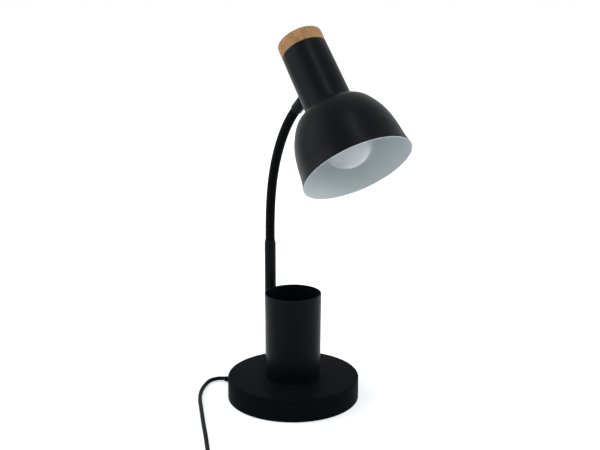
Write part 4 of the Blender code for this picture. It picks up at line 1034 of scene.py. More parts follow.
@dataclass
class Gooseneck:
    """The flexible neck: a ribbed sleeve in lengths that each lie over one joint, laid along the neck's
    curve.

    Attributes:
        foot_back: how far behind the base's middle it starts.
        foot_height: the height at which it starts.
        section: the length between two joints.
        sections: how many sections the solids have.
        shares: each section's share of the whole bend.
        radius: the sleeve's radius over its ribs.
        groove: the depth between two ribs.
        ribs: ribs on each section.
        rib_shares: shares of a rib's length and height, from groove to groove.
        blend_reach: a distance on each side of a joint; the points found from it are not used.
    """

    foot_back: float = STEM_BACK
    foot_height: float = 0.1891
    section: float = 0.0303
    sections: int = 6
    shares: tuple[float, ...] = (0.06, 0.12, 0.17, 0.18, 0.20, 0.27)
    radius: float = 0.00575
    groove: float = 0.00042
    ribs: int = 22
    rib_shares: tuple[tuple[float, float], ...] = (
        (0.0, 0.0), (0.12, 0.45), (0.30, 0.92), (0.5, 1.0), (0.70, 0.92), (0.88, 0.45), (1.0, 0.0),
    )
    blend_reach: float = 0.011

    def frame_at(self, length: float) -> Matrix:
        """Returns the frame on the neck's centre line at a length, with +Z along the line."""
        whole = math.pi / 2 - HEAD_TILT
        forward, height, angle, left = 0.0, self.foot_height, 0.0, length
        for share in self.shares:
            bend = whole * share
            run = min(left, self.section)
            turn = bend * run / self.section
            arc = self.section / bend
            forward += arc * (math.cos(angle) - math.cos(angle + turn))
            height += arc * (math.sin(angle + turn) - math.sin(angle))
            angle += turn
            left -= run
            if left <= 1e-9:
                break
        return at(y=self.foot_back - forward, z=height) @ Matrix.Rotation(angle, 4, "X")

    def centre_line(self) -> bpy.types.Object:
        """Returns a curve along the whole neck, for the sleeves to follow."""
        count = 120
        whole = self.section * self.sections
        places = [self.frame_at(whole * step / count) for step in range(count + 1)]
        return poly_line("neck_line", [place.translation for place in places])

    def rib_outline(self, pitch: float) -> list[tuple[float, float]]:
        """Returns one rib's outline, from groove to groove."""
        return [(self.radius - self.groove * (1.0 - swell), pitch * share)
                for share, swell in self.rib_shares]

    def sleeve(self, number: int, start: float, end: float, line: bpy.types.Object) -> bpy.types.Object:
        """Builds one length of the ribbed sleeve.

        Args:
            number: which joint it lies over.
            start: where it starts along the neck.
            end: where it ends.
            line: the neck's centre line.

        Returns:
            The sleeve.
        """
        pitch = self.section / self.ribs
        outline = self.rib_outline(pitch)
        deselect()
        bpy.ops.mesh.primitive_circle_add(vertices=32, radius=outline[0][0], location=(0.0, 0.0, 0.0))
        piece = bpy.context.object
        piece.name = f"neck_sleeve_{number}"
        start_edit()
        draw_up([(height, radius, radius) for radius, height in outline])
        end_edit()
        rows = piece.modifiers.new("rows", "ARRAY")
        rows.use_relative_offset = False
        rows.use_constant_offset = True
        rows.constant_offset_displace = (0.0, 0.0, pitch)
        rows.count = round((end - start) / pitch)
        rows.use_merge_vertices = True
        rows.merge_threshold = 20 * NEAR
        bpy.ops.object.modifier_apply(modifier=rows.name)
        start_edit()
        bpy.ops.mesh.fill_holes(sides=0)
        end_edit()
        set_down(piece, at(z=start))
        follow = piece.modifiers.new("follow", "CURVE")
        follow.object = line
        follow.deform_axis = "POS_Z"
        bpy.ops.object.modifier_apply(modifier=follow.name)
        close_shell(60.0)
        return piece

    def build(self) -> None:
        """Builds and dresses the neck."""
        line = self.centre_line()
        joints = self.sections - 1
        for number in range(1, joints + 1):
            start = 0.0 if number == 1 else self.section * (number - 0.5)
            end = self.section * (self.sections if number == joints else number + 0.5)
            piece = self.sleeve(number, start, end, line)
            piece.data.materials.append(RACK.get(Finish.NECK))
            low, high = (self.frame_at(self.section * number + reach).translation
                         for reach in (-self.blend_reach, self.blend_reach))
            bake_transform(piece)
            nodes = [f"gooseneck_section_{number + 1}"] + (["gooseneck_section_1"] if number == 1 else [])
            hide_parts(*nodes)
        bpy.data.objects.remove(line, do_unlink=True)


@dataclass
class Head:
    """The shade with its white lining, the wooden cap and the ferrule of the arm.

    Attributes:
        mouth_radius: the shade's outer radius at its mouth.
        dome_height: the height of the dome over the mouth.
        root_radius: the slim part's radius at the dome.
        top_radius: the slim part's radius at its top.
        top_height: the height of the slim part's top.
        wall: the shade's wall.
        skin: the thickness of the white lining.
        rim_depth: how far up from the mouth the black coat thickens.
        rim_share: the coat's thickness at the mouth as a share of the full one.
        throat: the rounding between dome and slim part.
        top_edge: the rounding round the slim part's top.
        cap_height: the wooden cap's height.
        cap_gap: the gap under the cap.
        cap_edges: the cap's roundings above and below.
        ferrule_radius: the ferrule's radius.
        ferrule_reach: where it starts and ends, from the head's axis.
        ferrule_edge: the rounding at its end.
        spacing: the distance between two rings of the dome.
        least_step: the least distance between the dome's last ring and the throat's first.
        height_shares: shares of the dome's height.
        drop_shares: shares of the dome's narrowing at those heights.
    """

    mouth_radius: float = 0.0632
    dome_height: float = 0.0786
    root_radius: float = 0.0272
    top_radius: float = 0.0264
    top_height: float = 0.1546
    wall: float = 0.0012
    skin: float = 0.0003
    rim_depth: float = 0.0040
    rim_share: float = 0.2
    throat: float = 0.0042
    top_edge: float = 0.0006
    cap_height: float = 0.0163
    cap_gap: float = 0.00015
    cap_edges: tuple[float, float] = (0.0018, 0.0006)
    ferrule_radius: float = 0.0069
    ferrule_reach: tuple[float, float] = (0.02588, 0.0563)
    ferrule_edge: float = 0.0009
    spacing: float = 0.0022
    least_step: float = 0.0005
    height_shares: tuple[float, ...] = (
        0.0, 0.08, 0.18, 0.30, 0.42, 0.53, 0.63, 0.72, 0.80, 0.87, 0.925, 0.967, 1.0,
    )
    drop_shares: tuple[float, ...] = (
        0.0, 0.04, 0.075, 0.10, 0.14, 0.19, 0.26, 0.345, 0.44, 0.54, 0.66, 0.81, 1.0,
    )

    def side(self) -> list[Vector]:
        """Returns the shade's outer side, from the mouth to the top of the slim part."""
        drop = self.mouth_radius - self.root_radius
        dome = [(self.mouth_radius - drop * fall, self.dome_height * share)
                for share, fall in zip(self.height_shares, self.drop_shares)]
        bend = smooth_line(dome, self.spacing)
        root = Vector((self.root_radius, self.dome_height))
        end = Vector((self.top_radius, self.top_height))
        throat = rounded([tuple(bend[-4]), (*root, self.throat), tuple(end)], 8)[1:-1]
        slim = [root.lerp(end, step / 4) for step in range(1, 5)]
        return [point for point in bend[:-3] if point.y < throat[0].y - self.least_step] + throat + slim

    def moved_in(self, line: Sequence[Vector], distance: float) -> list[Vector]:
        """Returns a line moved towards the axis by a distance, square to itself."""
        moved: list[Vector] = []
        for index, here in enumerate(line):
            ahead = line[min(index + 1, len(line) - 1)] - line[max(index - 1, 0)]
            normal = Vector((-ahead.y, ahead.x)).normalized()
            moved.append(here + normal * distance)
        return moved

    def build(self) -> None:
        """Builds and dresses the head."""
        self.shade()
        self.cap()
        self.ferrule()

    def shade(self) -> None:
        """Builds the black shade and its white lining."""
        side = self.side()
        inner = self.moved_in(side, self.wall - self.skin)
        for index, point in enumerate(side):
            if point.y < self.rim_depth:
                share = self.rim_share + (1.0 - self.rim_share) * point.y / self.rim_depth
                inner[index] = point.lerp(inner[index], share)
        top = self.top_height
        inner[-1].y = top - self.wall + self.skin
        edge = rounded([tuple(side[-2]), (self.top_radius, top, self.top_edge), (0.0, top)], 4)
        outline = side[:-1] + edge[1:-1]
        outline += [Vector((0.0, top)), Vector((0.0, inner[-1].y))] + inner[::-1]
        start = next(index for index, point in enumerate(outline) if point.x < NEAR)
        loop = outline[start + 1:] + outline[:start + 1]
        finish_piece(turned("shade_shell", loop, 144, HEAD), Finish.PAINT, "black_paint", "head", "shade")
        face = self.moved_in(side, self.wall)
        face[-1].y = top - self.wall
        lining = [Vector((0.0, inner[-1].y)), *inner[::-1], *face, Vector((0.0, face[-1].y))]
        piece = turned("lining_skin", lining, 144, HEAD)
        finish_piece(piece, Finish.WHITE_PAINT, "black_paint", "head", "shade")

    def cap(self) -> None:
        """Builds the wooden cap."""
        low = self.top_height + self.cap_gap
        high = self.top_height + self.cap_height
        above, below = self.cap_edges
        outline = rounded([
            (0.0, high), (self.top_radius, high, above), (self.top_radius, low, below), (0.0, low),
        ], 7)
        finish_piece(turned("cap_block", outline, 128, HEAD), Finish.WOOD, "wood", "head", "wood_cap")
        dress_solid("cap_screw", Finish.STEEL)

    def ferrule(self) -> None:
        """Builds the ferrule between the neck and the shade."""
        start, end = self.ferrule_reach
        outline = rounded([
            (0.0, end), (self.ferrule_radius, end, self.ferrule_edge),
            (self.ferrule_radius, start), (0.0, start),
        ], 6)
        piece = turned("ferrule_skin", outline, 64, ARM)
        finish_piece(piece, Finish.PAINT, "black_paint", "head", "arm_ferrule")
        dress_solid("ferrule_nut", Finish.STEEL)
        dress_solid("head_lead", Finish.SHEATH)
        dress_solid("live_wire", Finish.LIVE)
        dress_solid("neutral_wire", Finish.NEUTRAL)


@dataclass
class Lampholder:
    """The screw lampholder and the bracket that carries it.

    Attributes:
        radius: the housing's radius.
        mouth: the height of its mouth over the shade's.
        shoulder: the height of its shoulder.
        top: the height of its top.
        top_radius: its radius at the top.
        top_bore: the radius of the hole in its top.
        bore: its radius inside.
        top_wall: the top's thickness.
        shoulder_drop: how far the shoulder stands lower inside.
        edges: the roundings at the mouth, the shoulder and the top.
        grooves: how many grip grooves it has.
        groove_low: how far over the mouth the first one starts.
        groove_pitch: the distance between two.
        groove_depth: their depth, and the height of their slopes.
        groove_height: a groove's height.
        slot_low: the wire slot's near lower corner.
        slot_high: its far upper corner.
    """

    radius: float = 0.0175
    mouth: float = 0.0845
    shoulder: float = 0.1195
    top: float = 0.1290
    top_radius: float = 0.0085
    top_bore: float = 0.0053
    bore: float = 0.0159
    top_wall: float = 0.0016
    shoulder_drop: float = 0.0008
    edges: tuple[float, float, float] = (0.0005, 0.007, 0.0008)
    grooves: int = 5
    groove_low: float = 0.0050
    groove_pitch: float = 0.0032
    groove_depth: float = 0.0004
    groove_height: float = 0.0016
    slot_low: Point = (-0.0038, 0.010, 0.116)
    slot_high: Point = (0.0038, 0.022, 0.1222)

    def build(self) -> None:
        """Builds and dresses the lampholder."""
        grip: list[Corner] = []
        for count in range(self.grooves):
            low = self.mouth + self.groove_low + self.groove_pitch * count
            high = low + self.groove_height
            floor = self.radius - self.groove_depth
            grip += [(self.radius, low), (floor, low + self.groove_depth), (floor, high - self.groove_depth),
                     (self.radius, high)]
        mouth_edge, shoulder_edge, top_edge = self.edges
        ceiling = self.top - self.top_wall
        outline = rounded([
            (self.top_bore, self.top), (self.top_radius, self.top, top_edge),
            (self.radius, self.shoulder, shoulder_edge), *grip[::-1],
            (self.radius, self.mouth, mouth_edge), (self.bore, self.mouth, mouth_edge),
            (self.bore, self.shoulder - self.shoulder_drop),
            (self.top_radius, ceiling), (self.top_bore, ceiling),
        ], 6)
        piece = turned("holder_skin", outline, 72, HEAD)
        slot = box("wire_slot", self.slot_low, self.slot_high)
        set_down(slot, HEAD)
        carve(piece, [slot])
        close_shell()
        finish_piece(piece, Finish.PLASTIC, "black_plastic", "head", "lampholder_shell")
        dress_solid("lampholder_core", Finish.PORCELAIN)
        for node in ("thread_sleeve", "centre_contact"):
            dress_solid(node, Finish.BRASS)
        for node in ("lampholder_nipple", "lampholder_nut", "holder_bracket"):
            dress_solid(node, Finish.STEEL)


@dataclass
class Bulb:
    """The frosted globe bulb.

    Attributes:
        radius: the globe's radius.
        centre: the height of its middle over the shade's mouth.
        taper_start: the angle over its middle at which the taper starts.
        neck_radius: the neck's radius at the cap.
        neck: the height of the glass's end.
        glass_wall: the glass's thickness at its end.
        ring_spacing: the distance between two rings of the taper.
        taper_shares: shares of the taper's height and width.
        cap_gap: the gap between the glass, the cap and the seal.
        cap_radius: the screw cap's radius over its thread.
        cap_length: the screw cap's length.
        thread_depth: the thread's depth.
        thread_reach: where the thread starts and ends over the cap's foot.
        thread_turns: the rounds of the thread.
        skirt_depth: how far the plain skirt stands in from the thread, and its height.
        end_cone: how far the cap's end narrows, and the height of that cone.
        end_radius: the radius that the cap's end loses in all.
        seal_radii: the seal's radius at its foot and top.
        seal_edges: the roundings there.
        seal_height: the height of its top over the cap.
        tip_radii: the contact's radius at its foot and top.
        tip_reach: where the contact starts and ends over the cap.
        tip_edge: the rounding at its end.
    """

    radius: float = 0.030
    centre: float = 0.035
    taper_start: float = math.radians(38)
    neck_radius: float = 0.0142
    neck: float = 0.084
    glass_wall: float = 0.001
    ring_spacing: float = 0.0022
    taper_shares: tuple[tuple[float, float], ...] = ((0.30, 0.48), (0.58, 0.20), (0.82, 0.06), (1.0, 0.0))
    cap_gap: float = 0.0003
    cap_radius: float = 0.0131
    cap_length: float = 0.022
    thread_depth: float = 0.0011
    thread_reach: tuple[float, float] = (0.0036, 0.0182)
    thread_turns: int = 4
    skirt_depth: tuple[float, float] = (0.0004, 0.0030)
    end_cone: tuple[float, float] = (0.0024, 0.0012)
    end_radius: float = 0.0040
    seal_radii: tuple[float, float] = (0.0105, 0.0050)
    seal_edges: tuple[float, float] = (0.0004, 0.0008)
    seal_height: float = 0.0041
    tip_radii: tuple[float, float] = (0.0046, 0.0040)
    tip_reach: tuple[float, float] = (0.0044, 0.0064)
    tip_edge: float = 0.0009

    def build(self) -> None:
        """Builds and dresses the bulb."""
        self.globe()
        self.cap()

    def globe(self) -> None:
        """Builds the glass."""
        steps = 26
        arc = []
        for step in range(1, steps + 1):
            angle = -math.pi / 2 + (math.pi / 2 + self.taper_start) * step / steps
            arc.append((self.radius * math.cos(angle), self.centre + self.radius * math.sin(angle)))
        start = arc[-1]
        rise = self.neck - start[1]
        narrow = start[0] - self.neck_radius
        taper = [start] + [(self.neck_radius + narrow * width, start[1] + rise * height)
                           for height, width in self.taper_shares]
        side = [Vector(point) for point in arc[:-1]] + smooth_line([arc[-2], *taper], self.ring_spacing)[1:]
        outline = [Vector((0.0, self.centre - self.radius)), *side,
                   Vector((self.neck_radius - self.glass_wall, self.neck)), Vector((0.0, self.neck))]
        piece = turned("globe_glass", outline, 96, HEAD, 50.0)
        finish_piece(piece, Finish.GLASS, "frosted_glass", "bulb", "bulb_globe")

    def cap(self) -> None:
        """Builds the screw cap with its rolled thread, the seal and the contact."""
        low = self.neck + self.cap_gap
        high = low + self.cap_length
        steps = 14 * self.thread_turns
        first, last = self.thread_reach
        thread = []
        for step in range(steps + 1):
            share = step / steps
            swell = 0.5 - 0.5 * math.cos(math.tau * self.thread_turns * share)
            radius = self.cap_radius - self.thread_depth + self.thread_depth * swell
            thread.append((radius, low + first + (last - first) * share))
        inset, skirt = self.skirt_depth
        narrow, cone = self.end_cone
        outline = [
            (0.0, low), (self.cap_radius - inset, low), (self.cap_radius - inset, low + skirt), *thread,
            (self.cap_radius - narrow, high - cone), (self.cap_radius - self.end_radius, high), (0.0, high),
        ]
        finish_piece(turned("cap_metal", outline, 64, HEAD), Finish.TIN, "steel", "bulb", "bulb_cap")
        foot, top = high + self.cap_gap, high + self.seal_height
        wide, slim = self.seal_radii
        foot_edge, top_edge = self.seal_edges
        seal = rounded([(0.0, foot), (wide, foot, foot_edge), (slim, top, top_edge), (0.0, top)], 4)
        finish_piece(turned("cap_seal", seal, 48, HEAD), Finish.SEAL, "black_plastic", "bulb", "bulb_seal")
        foot, top = (high + reach for reach in self.tip_reach)
        wide, slim = self.tip_radii
        tip = rounded([(0.0, top), (slim, top, self.tip_edge), (wide, foot), (0.0, foot)], 5)
        finish_piece(turned("cap_contact", tip, 40, HEAD), Finish.BRASS, "brass", "bulb", "bulb_contact")


@dataclass
class Switch:
    """The in-line switch on the cord.

    Attributes:
        middle: the point under its middle.
        along: the direction from the lamp's end to the plug's.
        length: the switch's length.
        width: its width in the middle.
        end_width: its width at the cord's ends.
        height: its height.
        split: the height of the seam.
        seam: the gap between the shells.
        shoulder_edge: the rounding of its four shoulders.
        face_edge: the rounding round its top and underside.
        window: half the length and width of the rocker's window.
        screw_reach: how far the screws stand from its middle.
        screw_seat: how deep they sit.
        hole: a screw hole's radius and depth.
        tilt: how far the rocker is tilted at rest.
        key: half the rocker's length and width.
        key_reach: how far it stands under and over its axle.
        key_axle: the height of its axle.
        key_dip: how far its middle dips.
        key_edges: the roundings of its middle and its rim.
    """

    middle: tuple[float, float] = (-0.19195, -0.1243)
    along: tuple[float, float] = (-0.555112, -0.831776)
    length: float = 0.0554
    width: float = 0.022
    end_width: float = 0.011
    height: float = 0.0130
    split: float = 0.0066
    seam: float = 0.0003
    shoulder_edge: float = 0.005
    face_edge: float = 0.0016
    window: tuple[float, float] = (0.0081, 0.0048)
    screw_reach: float = 0.018
    screw_seat: float = 0.0023
    hole: tuple[float, float] = (0.0028, 0.0026)
    tilt: float = math.radians(8)
    key: tuple[float, float] = (0.0070, 0.0044)
    key_reach: tuple[float, float] = (0.0022, 0.0033)
    key_axle: float = 0.0104
    key_dip: float = 0.0013
    key_edges: tuple[float, float] = (0.0030, 0.0005)

    def place(self) -> Matrix:
        """Returns the frame under the switch's middle, with +X along the cord."""
        return at(*self.middle) @ Matrix.Rotation(math.atan2(self.along[1], self.along[0]), 4, "Z")

    def half_shell(self, name: str, low: float, high: float, flat_top: bool) -> bpy.types.Object:
        """Builds one shell of the switch.

        Args:
            name: the piece's name.
            low: the height of its underside.
            high: the height of its top.
            flat_top: whether the seam is at the top.

        Returns:
            The shell, about the origin.
        """
        half, wide, slim = self.length / 2, self.width / 2, self.end_width / 2
        piece = box(name, (-half, -wide, low), (half, wide, high))
        start_edit()
        for cut in (-half + wide, half - wide):
            bpy.ops.mesh.select_all(action="SELECT")
            bpy.ops.mesh.bisect(plane_co=(cut, 0.0, 0.0), plane_no=(1.0, 0.0, 0.0))
        for side in (-1.0, 1.0):
            select_faces(piece, lambda centre, normal: normal.x * side > 0.9)
            bpy.ops.transform.resize(value=(1.0, slim / wide, 1.0), center_override=(side * half, 0.0, 0.0))
        shoulder = half - wide
        select_edges(piece, lambda a, b: abs(abs(a.x) - shoulder) < 10 * NEAR and (a - b).xy.length < NEAR)
        bpy.ops.mesh.bevel(offset=self.shoulder_edge, segments=6, affect="EDGES")
        edge = low if flat_top else high
        select_edges(piece, lambda a, b: all(abs(end.z - edge) < NEAR and self.on_side(end)
                                             for end in (a, b)))
        bpy.ops.mesh.bevel(offset=self.face_edge, segments=5, affect="EDGES")
        end_edit()
        return piece

    def on_side(self, point: Vector) -> bool:
        """Returns whether a point lies on the switch's side walls."""
        half, wide, slim = self.length / 2, self.width / 2, self.end_width / 2
        reach = abs(point.x)
        if reach > half - 10 * NEAR:
            return True
        shoulder = half - wide
        edge = wide if reach < shoulder else wide + (slim - wide) * (reach - shoulder) / wide
        return abs(point.y) > edge - 0.0009

    def build(self) -> list[bpy.types.Object]:
        """Builds and dresses the switch.

        Returns:
            The pieces on the cord.
        """
        place = self.place()
        lower = self.half_shell("switch_tray", 0.0, self.split, True)
        upper = self.half_shell("switch_lid", self.split + self.seam, self.height, False)
        long, wide = self.window
        carve(upper, [box("window", (-long, -wide, 0.0), (long, wide, 2 * self.height))])
        radius, depth = self.hole
        for side in (-1.0, 1.0):
            carve(lower, [rod("screw_hole", radius, -depth, depth, 24, at(x=side * self.screw_reach))])
        for piece in (lower, upper):
            select_only(piece)
            close_shell(30.0)
            set_down(piece, place)
        finish_piece(lower, Finish.PLASTIC, "black_plastic", "stand", "switch_lower_shell")
        finish_piece(upper, Finish.PLASTIC, "black_plastic", "stand", "switch_upper_shell")
        screw = SWITCH_SCREW.build("switch_fastener_1", place @ at(x=-self.screw_reach, z=self.screw_seat))
        second = copied(screw, "switch_fastener_2", place @ at(x=2 * self.screw_reach) @ place.inverted())
        finish_piece(screw, Finish.STEEL, "steel", "stand", "switch_screw_1")
        finish_piece(second, Finish.STEEL, "steel", "stand", "switch_screw_2")
        return [lower, upper, screw, second, self.rocker(place)]

    def rocker(self, place: Matrix) -> bpy.types.Object:
        """Builds the rocker, tilted to one side.

        Args:
            place: the switch's frame.

        Returns:
            The rocker.
        """
        long, wide = self.key
        under, over = self.key_reach
        middle_edge, rim_edge = self.key_edges
        piece = box("rocker_key", (-long, -wide, -under), (long, wide, over))
        start_edit()
        bpy.ops.mesh.bisect(plane_co=(0.0, 0.0, 0.0), plane_no=(1.0, 0.0, 0.0))
        select_edges(piece, lambda a, b: all(abs(end.x) < NEAR and end.z > 0.0 for end in (a, b)))
        bpy.ops.transform.translate(value=(0.0, 0.0, -self.key_dip))
        bpy.ops.mesh.bevel(offset=middle_edge, segments=8, affect="EDGES")
        end_edit()
        soften(piece, rim_edge, 3, 50.0)
        set_down(piece, place @ at(z=self.key_axle) @ Matrix.Rotation(self.tilt, 4, "Y"))
        return finish_piece(piece, Finish.PLASTIC, "black_plastic", "rocker", "switch_rocker")


@dataclass
class Plug:
    """The flat two-pin plug.

    Attributes:
        end: the point where the cord enters it.
        before: the cord's last point but one.
        half_width: half its width at the pins.
        half_height: half its thickness.
        length: its length.
        start: how far it stands off the cord's last point.
        station_shares: shares of its length, half width and half thickness.
        side_edge: the rounding along its sides.
        face_edge: the rounding round its face.
        groove_share: where the first grip groove starts, as a share of its length.
        groove_step_share: the step between two, as a share of its length.
        grooves: how many grip grooves each side has.
        groove: half a groove's length, its depth and its height.
        pin_radius: a pin's radius.
        pin_length: a pin's length.
        pin_spread: the distance between the pins.
        pin_edge: the rounding of a pin's tip.
        pin_gap: the gap between the plug's face and the pin.
        cover_length: the length of a pin's insulated stretch.
        cover_depth: how far the pin steps in there.
        cover_skin: how far the sleeve stands in from the pin's radius.
        cover_gap: the gap between the sleeve and the bare pin.
        cover_edge: the rounding at the sleeve's end.
    """

    end: Point = (-0.1621, -0.1490, 0.00685)
    before: Point = (-0.1585, -0.1443, 0.0069)
    half_width: float = 0.0172
    half_height: float = 0.00685
    length: float = 0.042
    start: float = 0.0003
    station_shares: tuple[tuple[float, float, float], ...] = (
        (0.00, 0.19, 0.48), (0.10, 0.21, 0.53), (0.22, 0.23, 0.58), (0.34, 0.27, 0.64), (0.40, 0.42, 0.74),
        (0.46, 0.56, 0.82), (0.55, 0.66, 0.88), (0.68, 0.76, 0.93), (0.80, 0.86, 0.97), (0.94, 0.99, 1.00),
        (1.00, 0.98, 0.96),
    )
    side_edge: float = 0.0026
    face_edge: float = 0.0007
    groove_share: float = 0.60
    groove_step_share: float = 0.075
    grooves: int = 4
    groove: tuple[float, float, float] = (0.007, 0.0007, 0.0012)
    pin_radius: float = 0.002
    pin_length: float = 0.019
    pin_spread: float = 0.0186
    pin_edge: float = 0.0013
    pin_gap: float = 0.0004
    cover_length: float = 0.0095
    cover_depth: float = 0.0002
    cover_skin: float = 0.00004
    cover_gap: float = 0.0001
    cover_edge: float = 0.0002

    def place(self) -> Matrix:
        """Returns the frame at the cord's end, with +Z along the pins and +X across them."""
        heading = math.atan2(self.end[1] - self.before[1], self.end[0] - self.before[0])
        flat = at(self.end[0], self.end[1], self.half_height) @ Matrix.Rotation(heading, 4, "Z")
        return flat @ Matrix.Rotation(math.pi / 2, 4, "Y") @ Matrix.Rotation(math.pi / 2, 4, "Z")

    def build(self) -> list[bpy.types.Object]:
        """Builds and dresses the plug.

        Returns:
            The pieces on the cord.
        """
        return [self.body(), *self.pins()]

    def body(self) -> bpy.types.Object:
        """Builds the moulded body from a plate drawn up station by station."""
        deselect()
        stations = [(self.start + self.length * share, self.half_width * wide, self.half_height * thick)
                    for share, wide, thick in self.station_shares]
        height, wide, thick = stations[0]
        bpy.ops.mesh.primitive_plane_add(size=2.0, location=(0.0, 0.0, height))
        piece = bpy.context.object
        piece.name = "plug_moulding"
        piece.scale = (wide, thick, 1.0)
        bpy.ops.object.transform_apply(location=True, rotation=True, scale=True)
        start_edit()
        draw_up(stations)
        bpy.ops.mesh.select_all(action="SELECT")
        bpy.ops.mesh.normals_make_consistent(inside=False)
        select_edges(piece, lambda a, b: abs(a.z - b.z) > 10 * NEAR)
        bpy.ops.mesh.bevel(offset=self.side_edge, segments=6, affect="EDGES", clamp_overlap=True)
        top = stations[-1][0]
        select_edges(piece, lambda a, b: all(abs(end.z - top) < NEAR for end in (a, b)))
        bpy.ops.mesh.bevel(offset=self.face_edge, segments=3, affect="EDGES", clamp_overlap=True)
        end_edit()
        close_shell(40.0)
        half, depth, tall = self.groove
        for count in range(self.grooves):
            low = self.length * (self.groove_share + self.groove_step_share * count)
            for face in (-self.half_height, self.half_height):
                tool = box("grip_groove", (-half, face - depth, low), (half, face + depth, low + tall))
                carve(piece, [tool])
        close_shell(40.0)
        set_down(piece, self.place())
        return finish_piece(piece, Finish.PLASTIC, "black_plastic", "stand", "plug_body")

    def pins(self) -> list[bpy.types.Object]:
        """Builds the pins with their insulating sleeves."""
        low = self.length + self.pin_gap
        tip = low + self.pin_length
        step = low + self.cover_length
        radius = self.pin_radius
        core = radius - self.cover_depth
        place = self.place()
        first = place @ at(x=-self.pin_spread / 2)
        outline = rounded([
            (0.0, tip), (radius, tip, self.pin_edge), (radius, step), (core, step), (core, low), (0.0, low),
        ], 5)
        pin = turned("plug_prong_1", outline, 32, first)
        end, root, skin = step - self.cover_gap, self.length + self.cover_gap, radius - self.cover_skin
        sleeve = rounded([(0.0, end), (skin, end, self.cover_edge), (skin, root), (0.0, root)], 3)
        cover = turned("prong_sleeve_1", sleeve, 32, first)
        shift = place @ at(x=self.pin_spread) @ place.inverted()
        other = copied(pin, "plug_prong_2", shift)
        other_cover = copied(cover, "prong_sleeve_2", shift)
        finish_piece(pin, Finish.STEEL, "steel", "stand", "plug_pin_1")
        finish_piece(other, Finish.STEEL, "steel", "stand", "plug_pin_2")
        for piece in (cover, other_cover):
            finish_piece(piece, Finish.PLASTIC, "black_plastic", "stand")
        return [pin, other, cover, other_cover]


